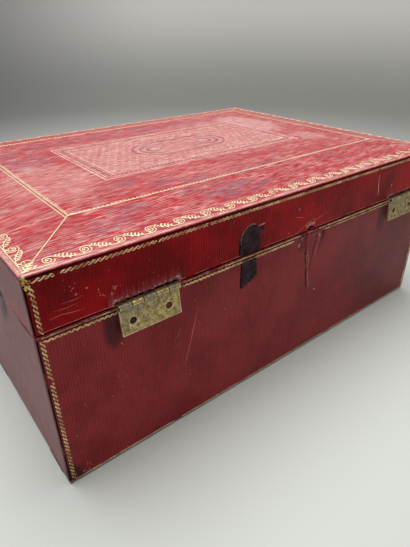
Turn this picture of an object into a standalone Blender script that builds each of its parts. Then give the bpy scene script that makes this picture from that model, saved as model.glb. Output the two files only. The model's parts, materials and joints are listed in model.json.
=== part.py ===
"""Leather-covered box for papers and keepsakes, built as its maker would build it.

Wooden boards make a base and a lid. Leather wraps both, cloth lines both, two brass hinges with bent
leaves join them at the back, and a small box lock with a sliding bolt closes them at the front.

Units are metres and +Z is up. The origin is the middle of the underside. The front, with the lock, faces
-Y, and the hinges are at +Y. Left and right are as seen from the front.
"""

import math

import bmesh
import bpy
from mathutils import Matrix, Vector

# Overall sizes of the box, over the leather
BOX_LENGTH = 0.320
BOX_DEPTH = 0.234
BASE_HEIGHT = 0.097
LID_SIDE_HEIGHT = 0.030
LID_RISE = 0.0052
LID_SLOPE_WIDTH = 0.036
PARTING_GAP = 0.0003

# Thickness of each layer, and the gap that stands for the glue between two layers
LEATHER = 0.001
WALL_BOARD = 0.010
FLOOR_BOARD = 0.006
TOP_BOARD_EDGE = 0.006
LINING = 0.0006
BOTTOM_COVER = 0.0006
GLUE = 0.0003

# How the leather and the bottom cover are folded and rounded
CORNER_RADIUS = 0.002
EDGE_RADIUS = 0.0009
TURN_IN = 0.012
BOTTOM_COVER_MARGIN = 0.004

# Hinges: their places along the back, measured from its two ends, and their parts
HINGE_LENGTH = 0.0345
HINGE_LEFT_MARGIN = 0.0203
HINGE_RIGHT_MARGIN = 0.0391
HINGE_LEAF = 0.0012
LOWER_LEAF_DROP = 0.0158
UPPER_LEAF_REACH = 0.0082
LEAF_OFFSET = 0.0001
KNUCKLE_RADIUS = 0.0016
KNUCKLE_SIDE_GAP = 0.00025
HINGE_PIN_RADIUS = 0.00075
RUNNING_GAP = 0.0001
SWING_GAP = 0.0003
NAIL_INSET = 0.0068
NAIL_DROP = 0.0093
LEAF_NOTCH_GAP = 0.0006
LID_NOTCH_ROOM = 0.0014
LID_NOTCH_SIDE = 0.0006
HINGE_SCREW_INSET = 0.009
HINGE_SCREW_MARGIN = 0.003
# Where the five knuckles meet, as shares of the hinge's length
KNUCKLE_SHARES = (0.0, 0.20, 0.41, 0.62, 0.81, 1.0)

# Wood screws and nails, which share one size
SCREW_SHANK_RADIUS = 0.0010
SCREW_HEAD_RADIUS = 0.0019
SCREW_HEAD_HEIGHT = 0.0008
SCREW_LENGTH = 0.0085
SCREW_POINT = 0.002
SCREW_WOOD_LEFT = 0.0015
SCREW_GAP = 0.0003
HEAD_SINK = 0.0001

# Box lock in the middle of the front
LOCK_PLATE = 0.0012
LOCK_EAR = 0.0052
LOCK_FLANGE_LIP = 0.0015
LOCK_CASE_WALL = 0.0007
LINING_WINDOW_GAP = 0.0008
LOCK_SCREW_DROP = 0.0065
DRILL_PIN_RADIUS = 0.001
KEY_ROOM = 0.0035
KEYHOLE_FOOT = 0.0023

# Striker in the lid, with two hooks that drop through the lock's flange
STRIKER_LENGTH = 0.040
STRIKER_DEPTH = 0.007
STRIKER_PLATE = 0.0012
STRIKER_SCREW_INSET = 0.0032
HOOK_SPACING = 0.020
HOOK_THICKNESS = 0.002
HOOK_WIDTH = 0.004
HOOK_DROP = 0.009
HOOK_EYE_RADIUS = 0.0013
HOOK_EYE_DROP = 0.0058
HOOK_SLOT_GAP = 0.0008
HOOK_SIDE_ROOM = 0.0009
HOOK_TIP_ROOM = 0.0015

# Bolt, drawn back at rest, and the spring under it
BOLT_TRAVEL = 0.004
BOLT_HEIGHT = 0.0045
BOLT_END_ROOM = 0.003
BOLT_POST = 0.002
BOLT_POST_CAP = 0.0002
BOLT_PIN_RADIUS = 0.0008
BOLT_TAIL = 0.0025
BOLT_TALON = 0.004
BOLT_TALON_HEIGHT = 0.0022
SPRING_THICKNESS = 0.0005
SPRING_LENGTH = 0.012
SPRING_WIDTH = 0.003
SPRING_BOW = 0.001

# Keyhole, and the escutcheon over it with its two pins
KEYHOLE_RADIUS = 0.0025
KEYHOLE_SLOT = 0.0022
KEYHOLE_LENGTH = 0.0052
ESCUTCHEON_WIDTH = 0.017
ESCUTCHEON_HEIGHT = 0.023
ESCUTCHEON_PLATE = 0.0009
ESCUTCHEON_EDGE = 0.0004
ESCUTCHEON_DROP = 0.0016
ESCUTCHEON_PIN_INSET = 0.0021
ESCUTCHEON_PIN_SHANK = 0.0006
ESCUTCHEON_PIN_HEAD = 0.0011
ESCUTCHEON_PIN_DOME = 0.0005

# How far a cutter runs past what it cuts, how close points are merged, and the sides of round pieces
OVERRUN = 0.004
MERGE_DISTANCE = 0.00001
ROUND_SIDES = 24
SMALL_ROUND_SIDES = 16
CORNER_SEGMENTS = 3
EDGE_SEGMENTS = 2
SPRING_STEPS = 6

# Levels that follow from the sizes above
LEATHER_FOOT = BOTTOM_COVER + GLUE
FLOOR_LOW = LEATHER_FOOT + LEATHER + GLUE
FLOOR_TOP = FLOOR_LOW + FLOOR_BOARD
WALL_LOW = FLOOR_TOP + GLUE
WALL_TOP = BASE_HEIGHT - LEATHER - GLUE
LID_LOW = BASE_HEIGHT + PARTING_GAP
LID_EDGE = LID_LOW + LID_SIDE_HEIGHT
LID_WALL_LOW = LID_LOW + LEATHER + GLUE
TOP_BOARD_LOW = LID_EDGE - LEATHER - GLUE - TOP_BOARD_EDGE
LID_WALL_TOP = TOP_BOARD_LOW - GLUE

# Half sizes of the leather, of the boards and of the room inside them
HALF_LENGTH = BOX_LENGTH / 2
HALF_DEPTH = BOX_DEPTH / 2
BOARD_LENGTH = HALF_LENGTH - LEATHER - GLUE
BOARD_DEPTH = HALF_DEPTH - LEATHER - GLUE
ROOM_LENGTH = BOARD_LENGTH - WALL_BOARD
ROOM_DEPTH = BOARD_DEPTH - WALL_BOARD

# The hinges' leaves, and the axis along X that both hinges share
LOWER_LEAF_IN = HALF_DEPTH + GLUE
UPPER_LEAF_LOW = BASE_HEIGHT + SWING_GAP
UPPER_LEAF_TOP = UPPER_LEAF_LOW + HINGE_LEAF
AXIS_Y = LOWER_LEAF_IN - LEAF_OFFSET + KNUCKLE_RADIUS
AXIS_Z = UPPER_LEAF_TOP + LEAF_OFFSET - KNUCKLE_RADIUS

# The lock's depths from the box's middle, from its back plate out towards the front
LOCK_ROOM = HOOK_WIDTH + 2 * HOOK_SIDE_ROOM
LOCK_PLATE_OUT = ROOM_DEPTH + LOCK_PLATE
LOCK_MIDDLE = LOCK_PLATE_OUT + LOCK_ROOM / 2
LOCK_CASE_OUT = LOCK_PLATE_OUT + LOCK_ROOM + LOCK_CASE_WALL
LOCK_FLANGE_OUT = LOCK_PLATE_OUT + LOCK_ROOM + LOCK_FLANGE_LIP

# The lock's levels, from its flange down to its foot
FLANGE_LOW = BASE_HEIGHT - LOCK_PLATE
LOCK_CASE_TOP = FLANGE_LOW - GLUE
HOOK_EYE_Z = BASE_HEIGHT - HOOK_EYE_DROP
HOOK_TIP = BASE_HEIGHT - HOOK_DROP
BOLT_TOP = HOOK_TIP - HOOK_TIP_ROOM
BOLT_LOW = BOLT_TOP - BOLT_HEIGHT
KEYHOLE_Z = BOLT_LOW - KEY_ROOM
LOCK_LOW = KEYHOLE_Z - KEYHOLE_LENGTH - KEYHOLE_FOOT
LOCK_CASE_LOW = LOCK_LOW + LOCK_PLATE

# The hooks' places along the lock, the bolt's reach to them, and the lengths that hold the bolt
HOOK_PLACES = (-HOOK_SPACING / 2, HOOK_SPACING / 2)
BOLT_REACH = HOOK_THICKNESS / 2 + SWING_GAP
BOLT_POSTS = [x - BOLT_REACH - BOLT_TRAVEL for x in HOOK_PLACES]
LOCK_CASE_LENGTH = 2 * (BOLT_POST + BOLT_END_ROOM + LOCK_CASE_WALL - BOLT_POSTS[0])
LOCK_PLATE_LENGTH = LOCK_CASE_LENGTH + 2 * LOCK_EAR


def clear_scene():
    """Removes what the scene holds, and makes a collection for the box and one for its cutters."""
    for old in list(bpy.data.objects):
        bpy.data.objects.remove(old, do_unlink=True)
    collections = []
    for name in ("leather_box", "cutters"):
        collection = bpy.data.collections.new(name)
        bpy.context.scene.collection.children.link(collection)
        collections.append(collection)
    return collections


BOX, CUTTERS = clear_scene()


def finish(name, color, roughness, metallic=0.0):
    """A plain Principled material."""
    material = bpy.data.materials.new(name)
    material.use_nodes = True
    shader = material.node_tree.nodes["Principled BSDF"]
    shader.inputs["Base Color"].default_value = (*color, 1.0)
    shader.inputs["Roughness"].default_value = roughness
    shader.inputs["Metallic"].default_value = metallic
    return material


RED_LEATHER = finish("red_leather", (0.20, 0.012, 0.02), 0.38)
WOOD = finish("pine_board", (0.42, 0.27, 0.14), 0.7)
LINING_CLOTH = finish("lining_cloth", (0.11, 0.17, 0.16), 0.85)
BOTTOM_CLOTH = finish("bottom_cloth", (0.07, 0.03, 0.025), 0.9)
BRASS = finish("brass", (0.45, 0.36, 0.15), 0.42, 1.0)
IRON = finish("iron", (0.10, 0.06, 0.045), 0.6, 0.8)


def add(name, mesh, material=None, location=(0, 0, 0), towards=None):
    """An object for a mesh, its +Z turned towards a direction. Without a material it is a cutter."""
    made = bpy.data.objects.new(name, mesh)
    made.location = location
    if towards is not None:
        made.rotation_mode = "QUATERNION"
        made.rotation_quaternion = Vector(towards).to_track_quat("Z", "Y")
    if material is None:
        CUTTERS.objects.link(made)
        made.hide_render = True
        made.display_type = "WIRE"
    else:
        BOX.objects.link(made)
        mesh.materials.append(material)
    return made


def mesh_of(name, shape):
    """Turns a bmesh into a mesh and frees it."""
    bmesh.ops.recalc_face_normals(shape, faces=shape.faces)
    mesh = bpy.data.meshes.new(name)
    shape.to_mesh(mesh)
    shape.free()
    return mesh


def smooth_round(mesh):
    """Shades the round faces smooth and keeps the rims sharp."""
    mesh.shade_smooth()
    mesh.set_sharp_from_angle(angle=math.radians(35))
    return mesh


def block(name, x, y, z, material=None):
    """A box between two limits along each axis."""
    size = [high - low for low, high in (x, y, z)]
    middle = [(low + high) / 2 for low, high in (x, y, z)]
    shape = bmesh.new()
    bmesh.ops.create_cube(shape, size=1, matrix=Matrix.Diagonal((*size, 1)))
    return add(name, mesh_of(name, shape), material, middle)


def rod(name, start, end, radius, material=None, sides=ROUND_SIDES):
    """A cylinder between two points."""
    start, end = Vector(start), Vector(end)
    shape = bmesh.new()
    bmesh.ops.create_cone(
        shape, cap_ends=True, segments=sides, radius1=radius, radius2=radius, depth=(end - start).length)
    return add(name, smooth_round(mesh_of(name, shape)), material, (start + end) / 2, end - start)


def turned(name, profile, location, towards, material=None):
    """A turned piece: its profile of radius and height runs down the outer side, with +Z turned outwards."""
    shape = bmesh.new()
    points = [shape.verts.new((radius, 0, height)) for radius, height in profile]
    for pair in zip(points, points[1:]):
        shape.edges.new(pair)
    mesh = bpy.data.meshes.new(name)
    shape.to_mesh(mesh)
    shape.free()
    made = add(name, mesh, material, location, towards)
    turn = made.modifiers.new("turn", "SCREW")
    turn.steps = SMALL_ROUND_SIDES
    turn.render_steps = SMALL_ROUND_SIDES
    turn.use_merge_vertices = True
    turn.merge_threshold = MERGE_DISTANCE
    return made


def combine(target, operation, others):
    for other in others:
        modifier = target.modifiers.new(other.name, "BOOLEAN")
        modifier.operation = operation
        modifier.object = other
    return target


def cut(target, *cutters):
    """Takes each cutter away from a piece."""
    return combine(target, "DIFFERENCE", cutters)


def join(target, *others):
    """Makes a piece and other shapes one body."""
    return combine(target, "UNION", others)


def is_wall(face):
    return abs(face.normal.z) < face.normal.xy.length


def wall_rims(shape):
    """The edges where upright walls meet what isn't upright."""
    return [edge for edge in shape.edges if len({is_wall(face) for face in edge.link_faces}) == 2]


def soften(shape, edges, radius, segments):
    bmesh.ops.bevel(
        shape, geom=edges, offset=radius, offset_type="OFFSET", segments=segments, profile=0.5,
        affect="EDGES", clamp_overlap=True, material=-1)


def box_form(name, half_length, half_depth, low, high, material=None, rise=0, slope=0, corner=0, edge=0):
    """A box round the origin. Its top can slope up from the edges to a flat field, and it can be rounded."""
    shape = bmesh.new()
    size = (2 * half_length, 2 * half_depth, high - low, 1)
    bmesh.ops.create_cube(shape, size=1, matrix=Matrix.Diagonal(size))
    upright = [e for e in shape.edges if e.verts[0].co.xy == e.verts[1].co.xy]
    if rise:
        top = max(shape.faces, key=lambda face: face.calc_center_median().z)
        bmesh.ops.inset_region(shape, faces=[top], thickness=slope, use_even_offset=True)
        bmesh.ops.translate(shape, verts=list(top.verts), vec=(0, 0, rise))
    if corner:
        soften(shape, upright, corner, CORNER_SEGMENTS)
    if edge:
        shape.normal_update()
        soften(shape, wall_rims(shape), edge, EDGE_SEGMENTS)
    return add(name, mesh_of(name, shape), material, (0, 0, (low + high) / 2))


def tray(name, half_length, half_depth, floor, rim, thickness, material):
    """An open box of cloth, its floor at one level and its rim at another, with its wall laid inwards."""
    shape = bmesh.new()
    size = (2 * half_length, 2 * half_depth, abs(rim - floor), 1)
    bmesh.ops.create_cube(shape, size=1, matrix=Matrix.Diagonal(size))
    way = 1 if rim > floor else -1
    mouth = max(shape.faces, key=lambda face: way * face.calc_center_median().z)
    bmesh.ops.delete(shape, geom=[mouth], context="FACES_ONLY")
    made = add(name, mesh_of(name, shape), material, (0, 0, (floor + rim) / 2))
    cloth = made.modifiers.new("cloth", "SOLIDIFY")
    cloth.thickness = thickness
    cloth.offset = -1
    cloth.use_even_offset = True
    return made


def drive_screw(name, head, into, targets, length=SCREW_LENGTH):
    """A countersunk screw or nail running into the work, and its hole with clearance in each target."""
    mouth, shank = SCREW_HEAD_RADIUS + SCREW_GAP, SCREW_SHANK_RADIUS + SCREW_GAP
    bottom = -length - SCREW_GAP
    hole = turned(
        f"{name}_hole", [(0, OVERRUN), (mouth, OVERRUN), (mouth, 0), (shank, -SCREW_HEAD_HEIGHT),
                         (shank, bottom), (0, bottom)], head, -Vector(into))
    for target in targets:
        cut(target, hole)
    return turned(
        name, [(0, 0), (SCREW_HEAD_RADIUS, 0), (SCREW_SHANK_RADIUS, -SCREW_HEAD_HEIGHT),
               (SCREW_SHANK_RADIUS, SCREW_POINT - length), (0, -length)], head, -Vector(into), IRON)


def walls(prefix, low, high):
    """Four boards on edge: long front and back, with the short sides between them."""
    across = (-BOARD_LENGTH, BOARD_LENGTH)
    between = (GLUE - ROOM_DEPTH, ROOM_DEPTH - GLUE)
    places = {
        "front": (across, (-BOARD_DEPTH, -ROOM_DEPTH)),
        "back": (across, (ROOM_DEPTH, BOARD_DEPTH)),
        "left": ((-BOARD_LENGTH, -ROOM_LENGTH), between),
        "right": ((ROOM_LENGTH, BOARD_LENGTH), between),
    }
    return {
        side: block(f"{prefix}_{side}_board", x, y, (low, high), WOOD) for side, (x, y) in places.items()}


def build_base_boards():
    """The floor board, with four walls standing on it."""
    block("base_floor_board", (-BOARD_LENGTH, BOARD_LENGTH), (-BOARD_DEPTH, BOARD_DEPTH),
          (FLOOR_LOW, FLOOR_TOP), WOOD)
    return walls("base", WALL_LOW, WALL_TOP)


def build_lid_boards():
    """The top board, with its raised field, over four low walls."""
    layer = LEATHER + GLUE
    top = box_form("lid_top_board", BOARD_LENGTH, BOARD_DEPTH, TOP_BOARD_LOW, LID_EDGE - layer, WOOD,
                   rise=LID_RISE, slope=LID_SLOPE_WIDTH - layer)
    return {"top": top, **walls("lid", LID_WALL_LOW, LID_WALL_TOP)}


def build_base_leather():
    """The base's leather, turned in over the rim of the boards and under the floor board."""
    leather = box_form("base_leather", HALF_LENGTH, HALF_DEPTH, LEATHER_FOOT, BASE_HEIGHT, RED_LEATHER,
                       corner=CORNER_RADIUS, edge=EDGE_RADIUS)
    middle = (LEATHER_FOOT + BASE_HEIGHT) / 2
    return cut(
        leather,
        box_form("base_board_space", HALF_LENGTH - LEATHER, HALF_DEPTH - LEATHER, LEATHER_FOOT + LEATHER,
                 BASE_HEIGHT - LEATHER),
        block("base_mouth", (-ROOM_LENGTH, ROOM_LENGTH), (-ROOM_DEPTH, ROOM_DEPTH),
              (middle, BASE_HEIGHT + OVERRUN)),
        block("base_underside", (TURN_IN - HALF_LENGTH, HALF_LENGTH - TURN_IN),
              (TURN_IN - HALF_DEPTH, HALF_DEPTH - TURN_IN), (-OVERRUN, middle)))


def build_lid_leather():
    """The lid's leather, turned in under its walls."""
    leather = box_form("lid_leather", HALF_LENGTH, HALF_DEPTH, LID_LOW, LID_EDGE, RED_LEATHER,
                       rise=LID_RISE, slope=LID_SLOPE_WIDTH, corner=CORNER_RADIUS, edge=EDGE_RADIUS)
    return cut(
        leather,
        box_form("lid_board_space", HALF_LENGTH - LEATHER, HALF_DEPTH - LEATHER, LID_LOW + LEATHER,
                 LID_EDGE - LEATHER, rise=LID_RISE, slope=LID_SLOPE_WIDTH - LEATHER),
        block("lid_mouth", (-ROOM_LENGTH, ROOM_LENGTH), (-ROOM_DEPTH, ROOM_DEPTH),
              (LID_LOW - OVERRUN, TOP_BOARD_LOW)))


def build_linings():
    """The cloth linings of base and lid, and the cover under the base."""
    half_length, half_depth = ROOM_LENGTH - GLUE, ROOM_DEPTH - GLUE
    base = tray("base_lining", half_length, half_depth, FLOOR_TOP + GLUE, WALL_TOP, LINING, LINING_CLOTH)
    lid = tray("lid_lining", half_length, half_depth, LID_WALL_TOP, LID_WALL_LOW, LINING, LINING_CLOTH)
    block("base_bottom_cover", (BOTTOM_COVER_MARGIN - HALF_LENGTH, HALF_LENGTH - BOTTOM_COVER_MARGIN),
          (BOTTOM_COVER_MARGIN - HALF_DEPTH, HALF_DEPTH - BOTTOM_COVER_MARGIN), (0, BOTTOM_COVER),
          BOTTOM_CLOTH)
    half_window = LOCK_PLATE_LENGTH / 2 + LINING_WINDOW_GAP
    cut(base, block("lock_window", (-half_window, half_window), (-ROOM_DEPTH - OVERRUN, OVERRUN - ROOM_DEPTH),
                    (LOCK_LOW - LINING_WINDOW_GAP, BASE_HEIGHT + OVERRUN)))
    return lid


def build_lower_leaf(name, start, end, joints, base_board, base_leather):
    """The leaf on the outside of the base, with three knuckles and two nails."""
    leaf_out = LOWER_LEAF_IN + HINGE_LEAF
    leaf = block(f"{name}_lower_leaf", (start, end), (LOWER_LEAF_IN, leaf_out),
                 (AXIS_Z - LOWER_LEAF_DROP, AXIS_Z), BRASS)
    for number in (1, 3):
        low, high = joints[number] - KNUCKLE_SIDE_GAP, joints[number + 1] + KNUCKLE_SIDE_GAP
        cut(leaf, block(f"{name}_notch_{number}", (low, high), (LOWER_LEAF_IN - OVERRUN, leaf_out + OVERRUN),
                        (AXIS_Z - KNUCKLE_RADIUS - LEAF_NOTCH_GAP, AXIS_Z + OVERRUN)))
    for number in (0, 2, 4):
        low = joints[number] + (KNUCKLE_SIDE_GAP if number else 0)
        high = joints[number + 1] - (KNUCKLE_SIDE_GAP if number < 4 else 0)
        join(leaf, rod(f"{name}_knuckle_{number}", (low, AXIS_Y, AXIS_Z), (high, AXIS_Y, AXIS_Z),
                       KNUCKLE_RADIUS))
    for number, x in enumerate((start + NAIL_INSET, end - NAIL_INSET), 1):
        head = (x, leaf_out - HEAD_SINK, BASE_HEIGHT - NAIL_DROP)
        drive_screw(f"{name}_nail_{number}", head, (0, -1, 0), (leaf, base_leather, base_board))
    return leaf


def build_upper_leaf(name, start, end, joints, lid_board):
    """The leaf let in under the lid's back wall, with two knuckles, and two screws up into the board."""
    inner, outer = HALF_DEPTH - UPPER_LEAF_REACH, AXIS_Y - KNUCKLE_RADIUS - SWING_GAP
    thickness = (UPPER_LEAF_LOW, UPPER_LEAF_TOP)
    leaf = block(f"{name}_upper_leaf", (start, end), (inner, outer), thickness, BRASS)
    for number in (1, 3):
        low, high = joints[number] + KNUCKLE_SIDE_GAP, joints[number + 1] - KNUCKLE_SIDE_GAP
        join(leaf,
             block(f"{name}_finger_{number}", (low, high), (inner + SCREW_HEAD_RADIUS, AXIS_Y), thickness),
             rod(f"{name}_knuckle_{number}", (low, AXIS_Y, AXIS_Z), (high, AXIS_Y, AXIS_Z),
                 KNUCKLE_RADIUS))
    pieces = [leaf]
    for number, x in enumerate((start + HINGE_SCREW_INSET, end - HINGE_SCREW_INSET), 1):
        head = (x, inner + HINGE_SCREW_MARGIN, UPPER_LEAF_LOW + HEAD_SINK)
        pieces.append(drive_screw(f"{name}_screw_{number}", head, (0, 0, 1), (leaf, lid_board)))
    return pieces


def build_hinge(side, start, base_board, base_leather, lid_board, lid_leather):
    """One butt hinge with its pin, and the notch that it needs in the lid."""
    name = f"hinge_{side}"
    end = start + HINGE_LENGTH
    joints = [start + HINGE_LENGTH * share for share in KNUCKLE_SHARES]
    lower = build_lower_leaf(name, start, end, joints, base_board, base_leather)
    upper, *screws = build_upper_leaf(name, start, end, joints, lid_board)
    bore = rod(f"{name}_bore", (start - OVERRUN, AXIS_Y, AXIS_Z), (end + OVERRUN, AXIS_Y, AXIS_Z),
               HINGE_PIN_RADIUS + RUNNING_GAP)
    cut(lower, bore)
    cut(upper, bore)
    rod(f"{name}_pin", (start, AXIS_Y, AXIS_Z), (end, AXIS_Y, AXIS_Z), HINGE_PIN_RADIUS, IRON)
    sides = (start - LID_NOTCH_SIDE, end + LID_NOTCH_SIDE)
    depth = (HALF_DEPTH - UPPER_LEAF_REACH - GLUE, HALF_DEPTH + OVERRUN)
    cut(lid_leather, block(f"{name}_leather_notch", sides, depth,
                           (LID_LOW - OVERRUN, AXIS_Z + KNUCKLE_RADIUS + LID_NOTCH_ROOM)))
    cut(lid_board, block(f"{name}_board_recess", sides, depth, (LID_LOW - OVERRUN, UPPER_LEAF_TOP + GLUE)))
    return [upper, *screws]


def keyhole(name, inner, outer, room=0):
    """The round and the slot of the keyhole, as two cutters between two depths."""
    radius = KEYHOLE_RADIUS + room
    half = KEYHOLE_SLOT / 2 + room
    return (
        rod(f"{name}_round", (0, -inner, KEYHOLE_Z), (0, -outer, KEYHOLE_Z), radius),
        block(f"{name}_slot", (-half, half), (-outer, -inner),
              (KEYHOLE_Z - KEYHOLE_LENGTH - room, KEYHOLE_Z)))


def build_lock_plate(base_board):
    """The lock's back plate and the flange that covers it on the rim, with four screws and the drill pin."""
    half = LOCK_PLATE_LENGTH / 2
    plate = block("lock_plate", (-half, half), (-LOCK_PLATE_OUT, -ROOM_DEPTH),
                  (LOCK_LOW, BASE_HEIGHT), BRASS)
    join(plate, block("lock_flange", (-half, half), (-LOCK_FLANGE_OUT, -ROOM_DEPTH),
                      (FLANGE_LOW, BASE_HEIGHT)))
    slot_x, slot_y = HOOK_THICKNESS / 2 + HOOK_SLOT_GAP, HOOK_WIDTH / 2 + HOOK_SLOT_GAP
    for number, x in enumerate(HOOK_PLACES):
        cut(plate, block(f"hook_slot_{number}", (x - slot_x, x + slot_x),
                         (-LOCK_MIDDLE - slot_y, slot_y - LOCK_MIDDLE),
                         (FLANGE_LOW - LOCK_PLATE, BASE_HEIGHT + OVERRUN)))
    rod("lock_drill_pin", (0, -ROOM_DEPTH, KEYHOLE_Z), (0, -BOARD_DEPTH, KEYHOLE_Z), DRILL_PIN_RADIUS, IRON,
        SMALL_ROUND_SIDES)
    cut(plate, rod("drill_pin_seat", (0, OVERRUN - ROOM_DEPTH, KEYHOLE_Z),
                   (0, -LOCK_PLATE_OUT - OVERRUN, KEYHOLE_Z), DRILL_PIN_RADIUS + RUNNING_GAP,
                   sides=SMALL_ROUND_SIDES))
    ear_middle = half - LOCK_EAR / 2
    corners = [(x, z) for x in (-ear_middle, ear_middle)
               for z in (BASE_HEIGHT - LOCK_SCREW_DROP, LOCK_LOW + LOCK_EAR / 2)]
    for number, (x, z) in enumerate(corners, 1):
        drive_screw(f"lock_screw_{number}", (x, -ROOM_DEPTH - HEAD_SINK, z), (0, -1, 0), (plate, base_board),
                    WALL_BOARD - SCREW_WOOD_LEFT)
    return plate


def build_lock_case():
    """The case over the works, open towards the plate and at the top."""
    half, back = LOCK_CASE_LENGTH / 2, LOCK_PLATE_OUT + GLUE
    case = block("lock_case", (-half, half), (-LOCK_CASE_OUT, -back), (LOCK_CASE_LOW, LOCK_CASE_TOP), BRASS)
    inner = half - LOCK_CASE_WALL
    cut(case, block("lock_works_space", (-inner, inner), (LOCK_CASE_WALL - LOCK_CASE_OUT, OVERRUN - back),
                    (LOCK_CASE_LOW + LOCK_CASE_WALL, LOCK_CASE_TOP + OVERRUN)))
    cut(case, *keyhole("case_keyhole", LOCK_MIDDLE, LOCK_CASE_OUT + OVERRUN))
    return case


def build_bolt():
    """The sliding bolt: a bar between case and plate, with two posts whose pins enter the hooks' eyes."""
    bar_half = LOCK_ROOM / 2 - SWING_GAP
    post_half = HOOK_WIDTH / 2
    bolt = block("lock_bolt", (BOLT_POSTS[0] - BOLT_POST, BOLT_POSTS[-1] + BOLT_TAIL),
                 (-LOCK_MIDDLE - bar_half, bar_half - LOCK_MIDDLE), (BOLT_LOW, BOLT_TOP), BRASS)
    for number, (x, post) in enumerate(zip(HOOK_PLACES, BOLT_POSTS)):
        join(bolt,
             block(f"bolt_post_{number}", (post - BOLT_POST, post),
                   (-LOCK_MIDDLE - post_half, post_half - LOCK_MIDDLE),
                   (BOLT_TOP - BOLT_HEIGHT / 2, HOOK_EYE_Z + BOLT_PIN_RADIUS + BOLT_POST_CAP)),
             rod(f"bolt_pin_{number}", (post - BOLT_POST / 2, -LOCK_MIDDLE, HOOK_EYE_Z),
                 (x - BOLT_REACH, -LOCK_MIDDLE, HOOK_EYE_Z), BOLT_PIN_RADIUS, sides=SMALL_ROUND_SIDES))
    key_side = -BOLT_TRAVEL / 2
    return cut(bolt, block(
        "bolt_talon", (key_side - BOLT_TALON / 2, key_side + BOLT_TALON / 2),
        (-LOCK_MIDDLE - OVERRUN, OVERRUN - LOCK_MIDDLE),
        (BOLT_LOW - OVERRUN, BOLT_LOW + BOLT_TALON_HEIGHT)))


def build_spring():
    """A bowed steel strip under the bolt, which holds it where the key leaves it."""
    top = BOLT_LOW - GLUE
    start = LOCK_CASE_WALL + GLUE - LOCK_CASE_LENGTH / 2
    upper = []
    for step in range(SPRING_STEPS + 1):
        share = step / SPRING_STEPS
        upper.append((start + SPRING_LENGTH * share, top - SPRING_BOW * (2 * share - 1) ** 2))
    under = [(x, z - SPRING_THICKNESS) for x, z in reversed(upper)]
    curve = bpy.data.curves.new("lock_spring", "CURVE")
    curve.dimensions = "2D"
    curve.fill_mode = "BOTH"
    curve.extrude = SPRING_WIDTH / 2
    spline = curve.splines.new("POLY")
    spline.points.add(len(upper + under) - 1)
    for point, (x, z) in zip(spline.points, upper + under):
        point.co = (x, z, 0, 1)
    spline.use_cyclic_u = True
    spring = bpy.data.objects.new("lock_spring", curve)
    spring.location = (0, -LOCK_MIDDLE, 0)
    spring.rotation_euler = (math.radians(90), 0, 0)
    curve.materials.append(IRON)
    BOX.objects.link(spring)
    return spring


def build_striker(lid_board, lid_leather):
    """The plate let in under the lid's front wall, its two hooks with eyes, and its screws."""
    half, half_deep = STRIKER_LENGTH / 2, STRIKER_DEPTH / 2
    striker = block("lock_striker", (-half, half), (-LOCK_MIDDLE - half_deep, half_deep - LOCK_MIDDLE),
                    (LID_LOW, LID_LOW + STRIKER_PLATE), BRASS)
    half_hook, half_width = HOOK_THICKNESS / 2, HOOK_WIDTH / 2
    for number, x in enumerate(HOOK_PLACES):
        join(striker, block(f"hook_{number}", (x - half_hook, x + half_hook),
                            (-LOCK_MIDDLE - half_width, half_width - LOCK_MIDDLE),
                            (HOOK_TIP, LID_LOW + STRIKER_PLATE / 2)))
    cut(striker, rod("hook_eyes", (-HOOK_SPACING, -LOCK_MIDDLE, HOOK_EYE_Z),
                     (HOOK_SPACING, -LOCK_MIDDLE, HOOK_EYE_Z), HOOK_EYE_RADIUS, sides=SMALL_ROUND_SIDES))
    recess = block("striker_recess", (-half - GLUE, half + GLUE),
                   (-LOCK_MIDDLE - half_deep - GLUE, OVERRUN - ROOM_DEPTH),
                   (LID_LOW - OVERRUN, LID_LOW + STRIKER_PLATE + GLUE))
    cut(lid_leather, recess)
    cut(lid_board, recess)
    pieces = [striker]
    for number, x in enumerate((STRIKER_SCREW_INSET - half, half - STRIKER_SCREW_INSET), 1):
        head = (x, -LOCK_MIDDLE, LID_LOW + HEAD_SINK)
        pieces.append(drive_screw(f"striker_screw_{number}", head, (0, 0, 1), (striker, lid_board)))
    return pieces


def let_in_lock(base_board, base_leather):
    """The recesses and the keyhole that the lock needs in the front board and its leather."""
    recess, mortise = LOCK_PLATE_LENGTH / 2 + GLUE, LOCK_CASE_LENGTH / 2 + GLUE
    inside = OVERRUN - ROOM_DEPTH
    above = BASE_HEIGHT + OVERRUN
    flange = block("flange_recess", (-recess, recess), (-LOCK_FLANGE_OUT - GLUE, inside),
                   (LOCK_CASE_TOP, above))
    cut(base_board,
        flange,
        block("plate_recess", (-recess, recess), (-LOCK_PLATE_OUT - GLUE, inside), (LOCK_LOW - GLUE, above)),
        block("case_mortise", (-mortise, mortise), (-LOCK_CASE_OUT - GLUE, inside),
              (LOCK_CASE_LOW - GLUE, above)),
        *keyhole("board_keyhole", LOCK_MIDDLE, HALF_DEPTH, GLUE))
    cut(base_leather, flange, *keyhole("leather_keyhole", BOARD_DEPTH - OVERRUN, HALF_DEPTH + OVERRUN, GLUE))


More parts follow.
